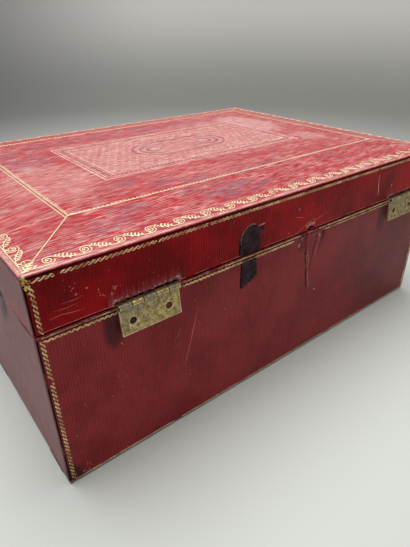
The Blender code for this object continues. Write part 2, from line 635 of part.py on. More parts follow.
def build_escutcheon(base_board, base_leather):
    """The oval plate over the keyhole, held by two small domed pins."""
    centre_z = KEYHOLE_Z - ESCUTCHEON_DROP
    inner = HALF_DEPTH + GLUE
    outer = inner + ESCUTCHEON_PLATE
    shape = bmesh.new()
    half_width = ESCUTCHEON_WIDTH / 2
    bmesh.ops.create_cone(shape, cap_ends=True, segments=2 * ROUND_SIDES, radius1=half_width,
                          radius2=half_width - ESCUTCHEON_EDGE, depth=ESCUTCHEON_PLATE)
    bmesh.ops.scale(shape, vec=(1, ESCUTCHEON_HEIGHT / ESCUTCHEON_WIDTH, 1), verts=shape.verts)
    plate = add("lock_escutcheon", smooth_round(mesh_of("lock_escutcheon", shape)), BRASS,
                (0, -(inner + outer) / 2, centre_z))
    plate.rotation_euler = (math.radians(90), 0, 0)
    cut(plate, *keyhole("escutcheon_keyhole", inner - OVERRUN, outer + OVERRUN))
    seat = outer + RUNNING_GAP
    length = seat - LOCK_CASE_OUT - 3 * GLUE
    dome_shoulder_share, dome_height_share = 0.7, 0.6
    profile = [
        (0, ESCUTCHEON_PIN_DOME),
        (ESCUTCHEON_PIN_HEAD * dome_shoulder_share, ESCUTCHEON_PIN_DOME * dome_height_share),
        (ESCUTCHEON_PIN_HEAD, 0), (ESCUTCHEON_PIN_SHANK, 0), (ESCUTCHEON_PIN_SHANK, -length), (0, -length)]
    reach = ESCUTCHEON_HEIGHT / 2 - ESCUTCHEON_PIN_INSET
    for number, z in enumerate((centre_z - reach, centre_z + reach), 1):
        turned(f"escutcheon_pin_{number}", profile, (0, -seat, z), (0, -1, 0), BRASS)
        hole = rod(f"escutcheon_pin_hole_{number}", (0, -seat - OVERRUN, z), (0, length + GLUE - seat, z),
                   ESCUTCHEON_PIN_SHANK + RUNNING_GAP, sides=SMALL_ROUND_SIDES)
        for target in (plate, base_leather, base_board):
            cut(target, hole)
    return plate


def hang_lid(pieces):
    """Parents the lid's pieces to an empty on the hinges' axis, leaving them where they are."""
    pivot = bpy.data.objects.new("lid_pivot", None)
    pivot.location = (0, AXIS_Y, AXIS_Z)
    BOX.objects.link(pivot)
    for piece in pieces:
        piece.parent = pivot
        piece.matrix_parent_inverse = Matrix.Translation(-pivot.location)
    return pivot


def build_box():
    base_boards = build_base_boards()
    lid_boards = build_lid_boards()
    base_leather = build_base_leather()
    lid_leather = build_lid_leather()
    lid_pieces = [*lid_boards.values(), lid_leather, build_linings()]
    starts = {
        "left": HINGE_LEFT_MARGIN - HALF_LENGTH,
        "right": HALF_LENGTH - HINGE_RIGHT_MARGIN - HINGE_LENGTH,
    }
    for side, start in starts.items():
        lid_pieces += build_hinge(side, start, base_boards["back"], base_leather, lid_boards["back"],
                                  lid_leather)
    build_lock_plate(base_boards["front"])
    build_lock_case()
    build_bolt()
    build_spring()
    let_in_lock(base_boards["front"], base_leather)
    build_escutcheon(base_boards["front"], base_leather)
    lid_pieces += build_striker(lid_boards["front"], lid_leather)
    hang_lid(lid_pieces)


build_box()
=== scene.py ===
# %% [markdown]
# An old box covered in red straight-grained morocco, with gilt tooling, a hinged lid and a lock.
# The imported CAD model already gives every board, hinge and lock part its place, so this script only
# dresses it: leather, gilding, worn metal, cloth and wood, then a plain studio round them.
# All lengths are in metres; MM turns a length read off a ruler into metres.

import json
import math
import random

import bmesh
import bpy
from mathutils import Matrix, Vector, noise
from mathutils.bvhtree import BVHTree

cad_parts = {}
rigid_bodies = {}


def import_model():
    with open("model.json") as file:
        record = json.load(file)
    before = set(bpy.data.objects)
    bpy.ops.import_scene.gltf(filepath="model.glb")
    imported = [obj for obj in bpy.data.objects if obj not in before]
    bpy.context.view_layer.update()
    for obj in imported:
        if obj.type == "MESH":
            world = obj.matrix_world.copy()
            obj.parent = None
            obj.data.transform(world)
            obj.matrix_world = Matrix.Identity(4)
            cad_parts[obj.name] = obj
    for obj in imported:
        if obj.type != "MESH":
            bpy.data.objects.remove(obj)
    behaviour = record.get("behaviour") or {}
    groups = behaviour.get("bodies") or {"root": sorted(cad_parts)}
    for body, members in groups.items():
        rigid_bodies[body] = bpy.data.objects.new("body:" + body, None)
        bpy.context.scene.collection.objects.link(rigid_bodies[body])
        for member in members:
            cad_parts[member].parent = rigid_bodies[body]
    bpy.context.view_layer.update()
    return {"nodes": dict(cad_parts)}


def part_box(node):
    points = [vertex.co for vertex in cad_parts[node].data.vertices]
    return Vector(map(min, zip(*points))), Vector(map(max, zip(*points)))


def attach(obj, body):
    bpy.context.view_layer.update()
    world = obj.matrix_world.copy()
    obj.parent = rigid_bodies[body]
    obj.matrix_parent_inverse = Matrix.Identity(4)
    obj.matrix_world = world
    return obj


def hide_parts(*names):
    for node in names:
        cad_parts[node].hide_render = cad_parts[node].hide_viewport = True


MM = 0.001
for leftover in list(bpy.data.objects):
    bpy.data.objects.remove(leftover)
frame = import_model()

# %% [markdown]
# The camera stands low, behind the box and to one side, and looks down at the hinges. Its place and
# turn were worked out from the corners of the box, so a leather corner falls where the real one does.

# %% Camera
LOOK = Vector((-0.53463, -0.68320, -0.49740)).normalized()
TO_THE_RIGHT = Vector((-0.78545, 0.61889, -0.00583)).normalized()
camera_data = bpy.data.cameras.new("camera")
camera_data.lens = 29.07
camera = bpy.data.objects.new("camera", camera_data)
axes = Matrix((TO_THE_RIGHT, TO_THE_RIGHT.cross(LOOK), -LOOK)).transposed()
camera.matrix_world = Matrix.Translation((0.1942, 0.27785, 0.21355)) @ axes.to_4x4()
bpy.context.scene.collection.objects.link(camera)
bpy.context.scene.camera = camera
bpy.context.scene.view_settings.view_transform = "Standard"
print("camera looks down", round(math.degrees(math.asin(-LOOK.z)), 1), "degrees")

# %% [markdown]
# Materials are built from nodes by two small helpers. One adds a node and plugs in or sets its inputs,
# the other starts a shader node group, which holds an effect that several finishes share.

# %% Helpers for nodes
def add_node(tree, kind, inputs=None, **settings):
    """A new node; an input that is a socket is linked, any other value is typed in."""
    made = tree.nodes.new(kind)
    for key, value in settings.items():
        setattr(made, key, value)
    for key, value in (inputs or {}).items():
        if isinstance(value, bpy.types.NodeSocket):
            tree.links.new(value, made.inputs[key])
        else:
            made.inputs[key].default_value = value
    return made


def sum_of(tree, operation, first, second=0.0, third=0.0):
    """The result of one Math node."""
    values = {0: first, 1: second, 2: third}
    return add_node(tree, "ShaderNodeMath", values, operation=operation).outputs[0]


def times(tree, first, second):
    """Two values multiplied."""
    return sum_of(tree, "MULTIPLY", first, second)


def ramped(tree, value, low, high, to_low=0.0, to_high=1.0):
    """A value between low and high becomes one between to_low and to_high, and stops there."""
    inputs = {"Value": value, "From Min": low, "From Max": high, "To Min": to_low, "To Max": to_high}
    return add_node(tree, "ShaderNodeMapRange", inputs, interpolation_type="SMOOTHSTEP").outputs[0]


def tinted(tree, share, first, second):
    """Two colours mixed by a share from 0 to 1."""
    mixer = add_node(tree, "ShaderNodeMix", data_type="RGBA")
    for index, value in ((0, share), (6, first), (7, second)):
        if isinstance(value, bpy.types.NodeSocket):
            tree.links.new(value, mixer.inputs[index])
        else:
            mixer.inputs[index].default_value = value
    return mixer.outputs[2]


def new_group(name, inputs, outputs):
    """An empty shader node group with its sockets; gives the group, what comes in and what goes out."""
    group = bpy.data.node_groups.new(name, "ShaderNodeTree")
    for label, kind, value in inputs:
        socket = group.interface.new_socket(name=label, in_out="INPUT", socket_type=kind)
        if value is not None:
            socket.default_value = value
    for label, kind in outputs:
        group.interface.new_socket(name=label, in_out="OUTPUT", socket_type=kind)
    return group, group.nodes.new("NodeGroupInput").outputs, group.nodes.new("NodeGroupOutput").inputs


def use_group(tree, group, **values):
    """Places a group in a material; a value's name is its socket's, with _ for a space."""
    made = tree.nodes.new("ShaderNodeGroup")
    made.node_tree = group
    for key, value in values.items():
        socket = made.inputs[key.replace("_", " ")]
        if isinstance(value, bpy.types.NodeSocket):
            tree.links.new(value, socket)
        else:
            socket.default_value = value
    return made.outputs


FLOAT, VECTOR = "NodeSocketFloat", "NodeSocketVector"
print("node helpers ready")

# %% [markdown]
# Straight-grained morocco is goatskin that was wetted and boarded in one direction, which folds its
# grain into long, nearly parallel ridges. Here a wave gives the ridges, noise makes them wander,
# and a second, stretched noise breaks them into runs. The pattern follows a UV map in metres.

# %% Straight grain
def make_straight_grain():
    """Ridges across u and along v: their height, and a mask of the dark furrows between them."""
    sockets = [("Vector", VECTOR, None), ("Spacing", FLOAT, 0.0015), ("Run", FLOAT, 0.012)]
    group, come, go = new_group("straight grain", sockets, [("Height", FLOAT), ("Furrow", FLOAT)])
    parts = add_node(group, "ShaderNodeSeparateXYZ", {"Vector": come["Vector"]}).outputs
    wander = add_node(group, "ShaderNodeTexNoise", {"Vector": come["Vector"], "Scale": 34.0, "Detail": 2.0})
    drift = sum_of(group, "MULTIPLY_ADD", wander.outputs[0], 0.0022, parts[0])
    across = sum_of(group, "DIVIDE", drift, come["Spacing"])
    along = sum_of(group, "DIVIDE", parts[1], come["Run"])
    wave = sum_of(group, "SINE", times(group, across, math.tau))
    cell = add_node(group, "ShaderNodeCombineXYZ", {"X": across, "Y": along, "Z": parts[2]}).outputs[0]
    breaks = add_node(group, "ShaderNodeTexNoise", {"Vector": cell, "Scale": 1.3, "Detail": 3.0,
                                                    "Roughness": 0.6}).outputs[0]
    ridge = sum_of(group, "MULTIPLY_ADD", wave, 0.5, 0.5)
    strength = ramped(group, breaks, 0.3, 0.62, 0.25, 1.0)
    fine = add_node(group, "ShaderNodeTexNoise", {"Vector": come["Vector"], "Scale": 1500.0, "Detail": 2.0})
    height = times(group, ridge, strength)
    group.links.new(sum_of(group, "MULTIPLY_ADD", fine.outputs[0], 0.3, height), go["Height"])
    group.links.new(times(group, ramped(group, ridge, 0.5, 0.0), strength), go["Furrow"])
    return group


straight_grain = make_straight_grain()
print("group:", straight_grain.name)

# %% [markdown]
# Age shows in patches: dust, faded dye, tarnish and worn gold all lie in irregular islands.
# One group makes such islands. Cover says how much of the surface they take, and Soft how
# gently they end. A second group rubs the edges and lays a painted highlight along them, guided by
# an attribute that each mesh carries.

# %% Patches, and rubbed edges with a painted highlight
def make_patches():
    """Irregular islands as a mask from 0 to 1."""
    sockets = [("Vector", VECTOR, None), ("Scale", FLOAT, 20.0), ("Stretch", VECTOR, (1.0, 1.0, 1.0)),
               ("Cover", FLOAT, 0.5), ("Soft", FLOAT, 0.1), ("Detail", FLOAT, 5.0)]
    group, come, go = new_group("patches", sockets, [("Mask", FLOAT)])
    pulled = add_node(group, "ShaderNodeVectorMath", {0: come["Vector"], 1: come["Stretch"]},
                      operation="MULTIPLY").outputs[0]
    cloud = add_node(group, "ShaderNodeTexNoise", {"Vector": pulled, "Scale": come["Scale"],
                                                   "Detail": come["Detail"], "Roughness": 0.62}).outputs[0]
    edge = sum_of(group, "MULTIPLY_ADD", come["Cover"], -0.4, 0.7)
    low = sum_of(group, "SUBTRACT", edge, come["Soft"])
    high = sum_of(group, "ADD", edge, come["Soft"])
    group.links.new(ramped(group, cloud, low, high), go["Mask"])
    return group


def make_edge_rub_and_highlight():
    """Edge wear and a painted edge highlight: a smooth attribute, torn into flecks by noise."""
    sockets = [("Vector", VECTOR, None), ("Rub", FLOAT, 0.0), ("Amount", FLOAT, 0.5),
               ("Scale", FLOAT, 450.0)]
    group, come, go = new_group("rubbed edges", sockets, [("Mask", FLOAT)])
    flecks = add_node(group, "ShaderNodeTexNoise", {"Vector": come["Vector"], "Scale": come["Scale"],
                                                    "Detail": 5.0, "Roughness": 0.7}).outputs[0]
    pushed = sum_of(group, "MULTIPLY_ADD", come["Rub"], come["Amount"], flecks)
    group.links.new(ramped(group, pushed, 0.72, 0.98), go["Mask"])
    return group


patches = make_patches()
edge_rub_and_highlight = make_edge_rub_and_highlight()
print("groups:", patches.name, "and", edge_rub_and_highlight.name)

# %% [markdown]
# Every finish starts in the same way: an empty material, a Principled shader, the Object
# coordinates and, for bumps, one Bump node. The shader stays in the material itself.

# %% A helper that starts a finish
def start_finish(name, metallic=0.0, specular=0.5):
    """A material with its shader; gives the material, its tree, the shader and the place on the object."""
    material = bpy.data.materials.new(name)
    material.use_nodes = True
    tree = material.node_tree
    shader = tree.nodes["Principled BSDF"]
    shader.inputs["Metallic"].default_value = metallic
    shader.inputs["Specular IOR Level"].default_value = specular
    place = add_node(tree, "ShaderNodeTexCoord").outputs["Object"]
    return material, tree, shader, place


def feed(tree, shader, colour, roughness, height=None, depth=0.0002, strength=0.6):
    """Plugs colour, roughness and a bump into the shader."""
    tree.links.new(colour, shader.inputs["Base Color"])
    tree.links.new(roughness, shader.inputs["Roughness"])
    if height is not None:
        bump = add_node(tree, "ShaderNodeBump", {"Height": height, "Distance": depth, "Strength": strength})
        tree.links.new(bump.outputs[0], shader.inputs["Normal"])


def read(tree, label):
    """A number that the mesh carries at each point."""
    return add_node(tree, "ShaderNodeAttribute", attribute_name=label).outputs["Fac"]


def patchy(tree, place, **values):
    """The islands of the patches group, as a mask."""
    return use_group(tree, patches, Vector=place, **values)[0]


def shade(red, green, blue):
    """A colour as the eye sees it, 0 to 255, turned into the light that the shader mixes."""
    return tuple((part / 255) ** 2.2 for part in (red, green, blue)) + (1.0,)


print("a mid red is", [round(part, 3) for part in shade(140, 20, 30)])

# %% [markdown]
# The leather itself: a deep red that has darkened in clouds and in the furrows of the grain. On top
# it has faded and has a painted sheen, and dust, old polish and painted highlights lie brushed along the
# grain in pink and grey streaks; the grey and pale of the end walls are a painted reflection. The mesh
# says where by five numbers at each point: fade and sheen, pale, grey, rub and highlight, and grime
# and shade.

# %% Red morocco
# Some colours here stand in for light: the top's faded red also paints sheen, the polish highlights, the
# grey dust a reflection, the pale dust and the rubbed skin highlights, and the grime shade.
TOP_FADE_AND_SHEEN, DEEP_PATCH, FURROW = shade(190, 50, 58), shade(128, 34, 48), (0.02, 0.001, 0.003, 1.0)
POLISH_AND_HIGHLIGHT, PALE_DUST_AND_HIGHLIGHT, GREY_DUST_AND_SHEEN = shade(230, 184, 176), shade(234, 196, 188), shade(132, 106, 118)
FLECK, RUBBED_AND_LIT_SKIN, GRIME_AND_SHADE = shade(222, 130, 128), shade(214, 132, 130), shade(30, 14, 16)


def make_morocco(name, deep, bright, furrow_share, gloss, specular):
    material, tree, shader, place = start_finish(name, specular=specular)
    hide = add_node(tree, "ShaderNodeUVMap", uv_map="hide").outputs[0]
    grain = use_group(tree, straight_grain, Vector=hide)
    fade_and_sheen, pale, grey = (read(tree, label) for label in ("fade_and_sheen", "pale", "grey"))

    def laid(share, amount, colour, tone):
        return tinted(tree, times(tree, share, amount), colour, tone)

    clouds = patchy(tree, place, Scale=28.0, Cover=0.5, Soft=0.16)
    colour = tinted(tree, clouds, deep, bright)
    broad = patchy(tree, hide, Scale=20.0, Stretch=(9.0, 1.0, 1.0), Soft=0.12)
    brushed = patchy(tree, hide, Scale=120.0, Stretch=(8.0, 1.0, 1.0), Soft=0.1, Detail=4.0)
    colour = laid(brushed, 0.18, colour, bright)
    # On what faces up, the faded red is faded dye and a painted sheen.
    colour = laid(fade_and_sheen, 0.86, colour, TOP_FADE_AND_SHEEN)
    # Pale streaks along the grain on top: old polish and painted highlights.
    streaks_and_highlights = times(tree, brushed, ramped(tree, broad, 0.0, 1.0, 0.4, 1.0))
    colour = laid(times(tree, streaks_and_highlights, fade_and_sheen), 0.72, colour, POLISH_AND_HIGHLIGHT)
    islands = patchy(tree, hide, Scale=60.0, Stretch=(3.0, 1.0, 1.0), Cover=0.6, Soft=0.1)
    colour = laid(times(tree, islands, fade_and_sheen), 0.3, colour, DEEP_PATCH)
    # Grey on top: dust and a painted reflection of the room; on the end walls, a painted reflection.
    dust_and_sheen = times(tree, grey, ramped(tree, brushed, 0.0, 1.0, 0.35, 1.0))
    dust_and_sheen = times(tree, dust_and_sheen, ramped(tree, islands, 0.0, 1.0, 0.35, 1.0))
    colour = laid(dust_and_sheen, 0.8, colour, GREY_DUST_AND_SHEEN)
    # Pale: the painted highlight on the lid's rim, dust in spots and the panel, and the end walls' painted
    # reflection.
    chalk_and_highlight = times(tree, pale, ramped(tree, brushed, 0.0, 1.0, 0.5, 1.0))
    colour = laid(chalk_and_highlight, 0.72, colour, PALE_DUST_AND_HIGHLIGHT)
    furrow = times(tree, grain["Furrow"], ramped(tree, fade_and_sheen, 0.0, 1.0, furrow_share, 0.6))
    colour = tinted(tree, furrow, colour, FURROW)
    flecks = patchy(tree, place, Scale=420.0, Cover=0.04, Soft=0.05)
    colour = laid(flecks, 0.45, colour, FLECK)
    # Rubbed edges: wear, and a painted highlight along the rounded edges.
    worn = use_group(tree, edge_rub_and_highlight, Vector=place, Rub=read(tree, "rub_and_highlight"), Amount=0.52)[0]
    colour = laid(worn, 0.7, colour, RUBBED_AND_LIT_SKIN)
    # Grime, and painted shade in grooves, gaps, creases and beside the hinges.
    colour = laid(read(tree, "grime_and_shade"), 0.9, colour, GRIME_AND_SHADE)
    rough = sum_of(tree, "MULTIPLY_ADD", grain["Furrow"], 0.16, gloss)
    rough = sum_of(tree, "MULTIPLY_ADD", dust_and_sheen, 0.3, rough)
    feed(tree, shader, colour, rough, grain["Height"], 0.00024, 0.5)
    return material


base_morocco = make_morocco("base_morocco", shade(120, 32, 38), shade(146, 48, 52), 0.42, 0.3, 0.12)
lid_morocco = make_morocco("lid_morocco", shade(106, 4, 12), shade(164, 12, 22), 0.3, 0.28, 0.08)
print("leathers:", base_morocco.name, lid_morocco.name)

# %% [markdown]
# Gold leaf was pressed through a heated tool and stuck only where the tool touched. It is thin,
# so it wears back to red leather. The finish mixes gold and leather by patches, and because bare
# leather isn't metal, Metallic follows the same mask.

# %% Gilding
def make_gilding(name, gold, dull, loss, metal=0.85):
    material, tree, shader, place = start_finish(name)
    tone = patchy(tree, place, Scale=160.0, Cover=0.5, Soft=0.14)
    leaf = tinted(tree, tone, gold, dull)
    gone = patchy(tree, place, Scale=700.0, Cover=loss, Soft=0.05)
    colour = tinted(tree, gone, leaf, shade(120, 40, 42))
    tree.links.new(sum_of(tree, "MULTIPLY_ADD", gone, -metal, metal), shader.inputs["Metallic"])
    feed(tree, shader, colour, ramped(tree, tone, 0.0, 1.0, 0.34, 0.5), tone, 0.00003, 0.4)
    return material


bright_gilt = make_gilding("bright_gilt", shade(255, 236, 198), shade(244, 212, 170), 0.06, 0.25)
old_gilt = make_gilding("old_gilt", shade(246, 214, 156), shade(170, 134, 88), 0.18, 0.5)
thin_gilt = make_gilding("thin_gilt", shade(206, 156, 112), shade(120, 70, 50), 0.35, 0.4)
corner_gilt = make_gilding("corner_gilt", shade(255, 222, 120), shade(120, 90, 46), 0.2, 0.4)
blind_dust = make_gilding("blind_dust", shade(252, 222, 210), shade(226, 160, 152), 0.18, 0.0)
blind_press = make_gilding("blind_press", shade(104, 44, 54), shade(140, 56, 64), 0.15, 0.0)
print("gildings:", bright_gilt.name, old_gilt.name, thin_gilt.name, corner_gilt.name)

# %% [markdown]
# Where the hide is lost, the bare patch is nearly black: old glue, dirt and leather fibre.
# Torn edges and scratches show the pale, undyed middle of the skin instead.

# %% Bare hide, raw fibre and scratches
def make_plain(name, first, second, scale, rough, metallic=0.0, depth=0.0001, specular=0.5):
    """A finish of two tones in patches, with a fine bump."""
    material, tree, shader, place = start_finish(name, metallic, specular)
    tone = patchy(tree, place, Scale=scale, Cover=0.5, Soft=0.15)
    fine = add_node(tree, "ShaderNodeTexNoise",
                    {"Vector": place, "Scale": scale * 4, "Detail": 6.0}).outputs[0]
    colour = tinted(tree, tone, first, second)
    feed(tree, shader, colour, ramped(tree, fine, 0.3, 0.7, rough, min(1.0, rough + 0.2)), fine, depth, 0.7)
    return material


bare_hide = make_plain("bare_hide", shade(26, 8, 14), shade(62, 44, 50), 260.0, 0.5,
                       depth=0.0004, specular=0.12)
# The near-black finish is painted shade in cracks, hollows, gaps, the hinge recesses and beside raised
# edges, and dirt beside the corners.
black_shade_and_dirt = make_plain("black_shade_and_dirt", shade(12, 7, 7), shade(34, 18, 17), 500.0, 0.8, specular=0.05)
raw_fibre = make_plain("raw_fibre", shade(214, 172, 158), shade(150, 96, 90), 900.0, 0.75)
# This finish also paints the highlight along the lid's lower lip.
scratch_and_highlight = make_plain("scratch_and_highlight", shade(222, 122, 116), shade(184, 72, 74), 900.0, 0.6)
pale_nick = make_plain("pale_nick", shade(244, 190, 180), shade(206, 110, 112), 700.0, 0.6)
print("bare, raw and scratched leather ready")

# %% [markdown]
# The hinges are aged brass: yellow-green metal, a grey-blue film where water stood, brown edges
# and paler rims where fingers rubbed it. The inside fittings kept more of their polish. On the lid's
# knuckles the dark film colour is painted shade, and a pale band across their front a painted highlight.

# %% Brass and iron
def make_brass(name, clean, aged, film_and_shade, film_share, rough, grime_and_shade):
    """The mesh's two numbers say where the grey-blue film lies and where fingers rubbed; on the lid's
    knuckles they mark painted shade and a painted highlight.
    """
    material, tree, shader, place = start_finish(name)
    old = patchy(tree, place, Scale=420.0, Cover=0.5, Soft=0.1)
    colour = tinted(tree, old, clean, aged)
    blue = patchy(tree, place, Scale=210.0, Cover=film_share, Soft=0.1)
    # Where the film lies; on the lid's knuckles this is painted shade.
    blue = sum_of(tree, "MAXIMUM", times(tree, blue, 0.5), read(tree, "film_and_shade"))
    blue = times(tree, blue, ramped(tree, read(tree, "rub_and_highlight"), 1.0, 0.2))
    specks = patchy(tree, place, Scale=900.0, Cover=0.5, Soft=0.12, Detail=3.0)
    blue = times(tree, blue, ramped(tree, specks, 0.0, 1.0, 0.35, 1.0))
    colour = tinted(tree, times(tree, blue, 0.9), colour, film_and_shade)
    colour = tinted(tree, times(tree, specks, 0.3), colour, shade(214, 196, 140))
    pits = patchy(tree, place, Scale=1100.0, Cover=0.3, Soft=0.06, Detail=3.0)
    colour = tinted(tree, times(tree, pits, grime_and_shade), colour, shade(46, 34, 22))
    # Rubbed rims; on the lid's knuckles a painted highlight.
    worn = use_group(tree, edge_rub_and_highlight, Vector=place, Rub=read(tree, "rub_and_highlight"), Amount=0.5, Scale=900.0)[0]
    colour = tinted(tree, times(tree, worn, 0.65), colour, shade(236, 204, 160))
    metal = sum_of(tree, "MULTIPLY_ADD", blue, -0.6, 0.8)
    tree.links.new(metal, shader.inputs["Metallic"])
    roughness = sum_of(tree, "MULTIPLY_ADD", pits, 0.2, rough)
    feed(tree, shader, colour, roughness, pits, 0.00006, 0.5)
    return material


aged_brass = make_brass("aged_brass", shade(196, 174, 116), shade(132, 108, 68), shade(98, 100, 106),
                        film_share=0.4, rough=0.42, grime_and_shade=0.5)
# On the lid's knuckles the dark film colour is painted shade.
knuckle_brass_painted_shade = make_brass("knuckle_brass_painted_shade", shade(200, 178, 112), shade(150, 126, 72), shade(44, 38, 34),
                           film_share=0.15, rough=0.35, grime_and_shade=0.4)
kept_brass = make_brass("kept_brass", shade(206, 178, 108), shade(164, 134, 72), shade(120, 112, 96),
                        film_share=0.1, rough=0.3, grime_and_shade=0.2)
dark_iron = make_plain("dark_iron", shade(46, 38, 34), shade(70, 56, 46), 600.0, 0.5, 0.7)
rusty_iron = make_plain("rusty_iron", shade(104, 46, 26), shade(70, 34, 24), 700.0, 0.7, 0.2)
print("metals:", aged_brass.name, kept_brass.name, dark_iron.name, rusty_iron.name)

# %% [markdown]
# Under the leather the box is of pine boards, and inside it is lined with cloth. Both are hidden
# until the lid opens. Wood is stretched noise along each board, cloth is two waves crossing.

# %% Pine, lining and bottom cloth
def make_pine():
    material, tree, shader, place = start_finish("pine_board")
    figure = patchy(tree, place, Scale=34.0, Stretch=(0.5, 6.0, 6.0), Cover=0.5, Soft=0.2)
    pores = patchy(tree, place, Scale=260.0, Stretch=(0.2, 5.0, 5.0), Cover=0.3, Soft=0.1)
    colour = tinted(tree, figure, shade(196, 156, 108), shade(158, 114, 70))
    colour = tinted(tree, times(tree, pores, 0.3), colour, shade(96, 62, 36))
    feed(tree, shader, colour, ramped(tree, figure, 0.0, 1.0, 0.6, 0.78), pores, 0.0001, 0.5)
    return material


def make_weave():
    """Threads crossing over and under: their height and the gaps between them."""
    sockets = [("Vector", VECTOR, None), ("Thread", FLOAT, 0.0006)]
    group, come, go = new_group("weave", sockets, [("Height", FLOAT), ("Gap", FLOAT)])
    parts = add_node(group, "ShaderNodeSeparateXYZ", {"Vector": come["Vector"]}).outputs
    turn = [sum_of(group, "DIVIDE", parts[index], come["Thread"]) for index in (0, 1)]
    waves = [sum_of(group, "SINE", times(group, value, math.pi)) for value in turn]
    over = times(group, waves[0], waves[1])
    flat = sum_of(group, "MAXIMUM", sum_of(group, "ABSOLUTE", waves[0]),
                  sum_of(group, "ABSOLUTE", waves[1]))
    group.links.new(sum_of(group, "MULTIPLY_ADD", over, 0.4, flat), go["Height"])
    group.links.new(ramped(group, flat, 0.7, 0.3), go["Gap"])
    return group


def make_cloth(name, main, faded, shadow, thread):
    material, tree, shader, place = start_finish(name)
    laid = add_node(tree, "ShaderNodeUVMap", uv_map="hide").outputs[0]
    threads = use_group(tree, weave, Vector=laid, Thread=thread)
    faint = patchy(tree, place, Scale=18.0, Cover=0.5, Soft=0.2)
    colour = tinted(tree, faint, main, faded)
    colour = tinted(tree, times(tree, threads["Gap"], 0.7), colour, shadow)
    marks = patchy(tree, place, Scale=45.0, Cover=0.18, Soft=0.08)
    colour = tinted(tree, times(tree, marks, 0.3), colour, shade(96, 84, 64))
    shader.inputs["Sheen Weight"].default_value = 0.25
    feed(tree, shader, colour, ramped(tree, faint, 0.0, 1.0, 0.75, 0.9), threads["Height"], 0.00015, 0.6)
    return material


weave = make_weave()
pine = make_pine()
lining_cloth = make_cloth("lining_cloth", shade(92, 116, 112), shade(116, 136, 126),
                          shade(40, 54, 52), 0.0006)
bottom_cloth = make_cloth("bottom_cloth", shade(78, 46, 42), shade(92, 60, 52), shade(28, 18, 16), 0.0009)
print("pine, lining and bottom cloth ready")

# %% [markdown]
# Each finished mesh becomes an object at the origin that rides on its CAD body, and hides the
# CAD nodes it stands for. Two more helpers rule cuts across a mesh and soften chosen edges.

# %% Helpers for meshes
def make_piece(name, shape, material, body, stands_for=()):
    mesh = bpy.data.meshes.new(name)
    shape.to_mesh(mesh)
    shape.free()
    mesh.materials.append(material)
    made = bpy.data.objects.new(name, mesh)
    bpy.context.scene.collection.objects.link(made)
    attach(made, body)
    if stands_for:
        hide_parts(*stands_for)
    print(f"{name}: {len(mesh.polygons)} faces on {body}")
    return made


def rule_cuts(shape, axis, places):
    """Cuts the whole shape square to one axis at each place."""
    square = [0.0, 0.0, 0.0]
    square[axis] = 1.0
    for place in places:
        spot = [0.0, 0.0, 0.0]
        spot[axis] = place
        everything = shape.verts[:] + shape.edges[:] + shape.faces[:]
        bmesh.ops.bisect_plane(shape, geom=everything, dist=1e-6, plane_co=spot, plane_no=square)


def steps(start, end, size):
    """Places from just after start to just before end, about size apart."""
    count = max(1, round((end - start) / size))
    return [start + (end - start) * number / count for number in range(1, count)]


def soften(shape, edges, radius, segments):
    bmesh.ops.bevel(shape, geom=edges, offset=radius, offset_type="OFFSET", segments=segments,
                    profile=0.5, affect="EDGES", material=-1, clamp_overlap=True)


def add_wall(piece, thickness):
    """Gives a skin its thickness, inwards."""
    wall = piece.modifiers.new("thickness", "SOLIDIFY")
    wall.thickness = thickness
    wall.offset = -1


def smooth_faces(shape, sharpest=40):
    for face in shape.faces:
        face.smooth = True
    for edge in shape.edges:
        edge.smooth = not edge.is_manifold or edge.calc_face_angle() < math.radians(sharpest)


print("steps of 3 mm over a 320 mm edge:", len(steps(-0.16, 0.16, 0.003)))

# %% [markdown]
# The leather covers are thin skins drawn tight over the boards. A skin starts as a cube of the
# box's outer size. The lid's is given its raised middle by an inset, the corners are rounded with
# a bevel, and then planes cut it into small cells, so that it can be waved, torn and notched.

# %% The size of the two covers
base_low, base_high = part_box("base_leather")
lid_low, lid_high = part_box("lid_leather")
HALF_LENGTH, HALF_DEPTH = base_high.x, base_high.y
RIM = base_high.z
FOOT = base_low.z
LID_FOOT = lid_low.z
LID_RISE = 5.2 * MM
LID_EDGE = lid_high.z - LID_RISE
SLOPE = 36 * MM
room_low, room_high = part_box("base_lining")
ROOM_LENGTH = room_high.x + 0.3 * MM
ROOM_DEPTH = room_high.y + 0.3 * MM
TURN_IN = 12 * MM
CELL = 3 * MM
print("base", round(HALF_LENGTH * 2, 3), "x", round(HALF_DEPTH * 2, 3), "rim at", round(RIM, 4))


def box_skin(low, high, rise=0.0):
    """A closed skin of the outer size, with soft corners and a raised field if it rises."""
    shape = bmesh.new()
    size = Matrix.Diagonal((2 * HALF_LENGTH, 2 * HALF_DEPTH, high - low, 1))
    bmesh.ops.create_cube(shape, size=1, matrix=Matrix.Translation((0, 0, (low + high) / 2)) @ size)
    if rise:
        roof = max(shape.faces, key=lambda face: face.calc_center_median().z)
        bmesh.ops.inset_region(shape, faces=[roof], thickness=SLOPE, depth=0, use_even_offset=True)
        bmesh.ops.translate(shape, verts=roof.verts[:], vec=(0, 0, rise))
    upright = [edge for edge in shape.edges
               if (edge.verts[0].co - edge.verts[1].co).normalized().z ** 2 > 0.9]
    soften(shape, upright, 1.2 * MM, 3)
    rims = [edge for edge in shape.edges if edge.calc_face_angle() > math.radians(60)]
    soften(shape, rims, 0.8 * MM, 3)
    return shape

# %% [markdown]
# Old leather is never flat. It shrinks, lifts from the glue and follows the warped boards. Each
# point is pushed in by a few tenths of a millimetre with smooth noise, which is enough to make
# the light wander over a broad face.

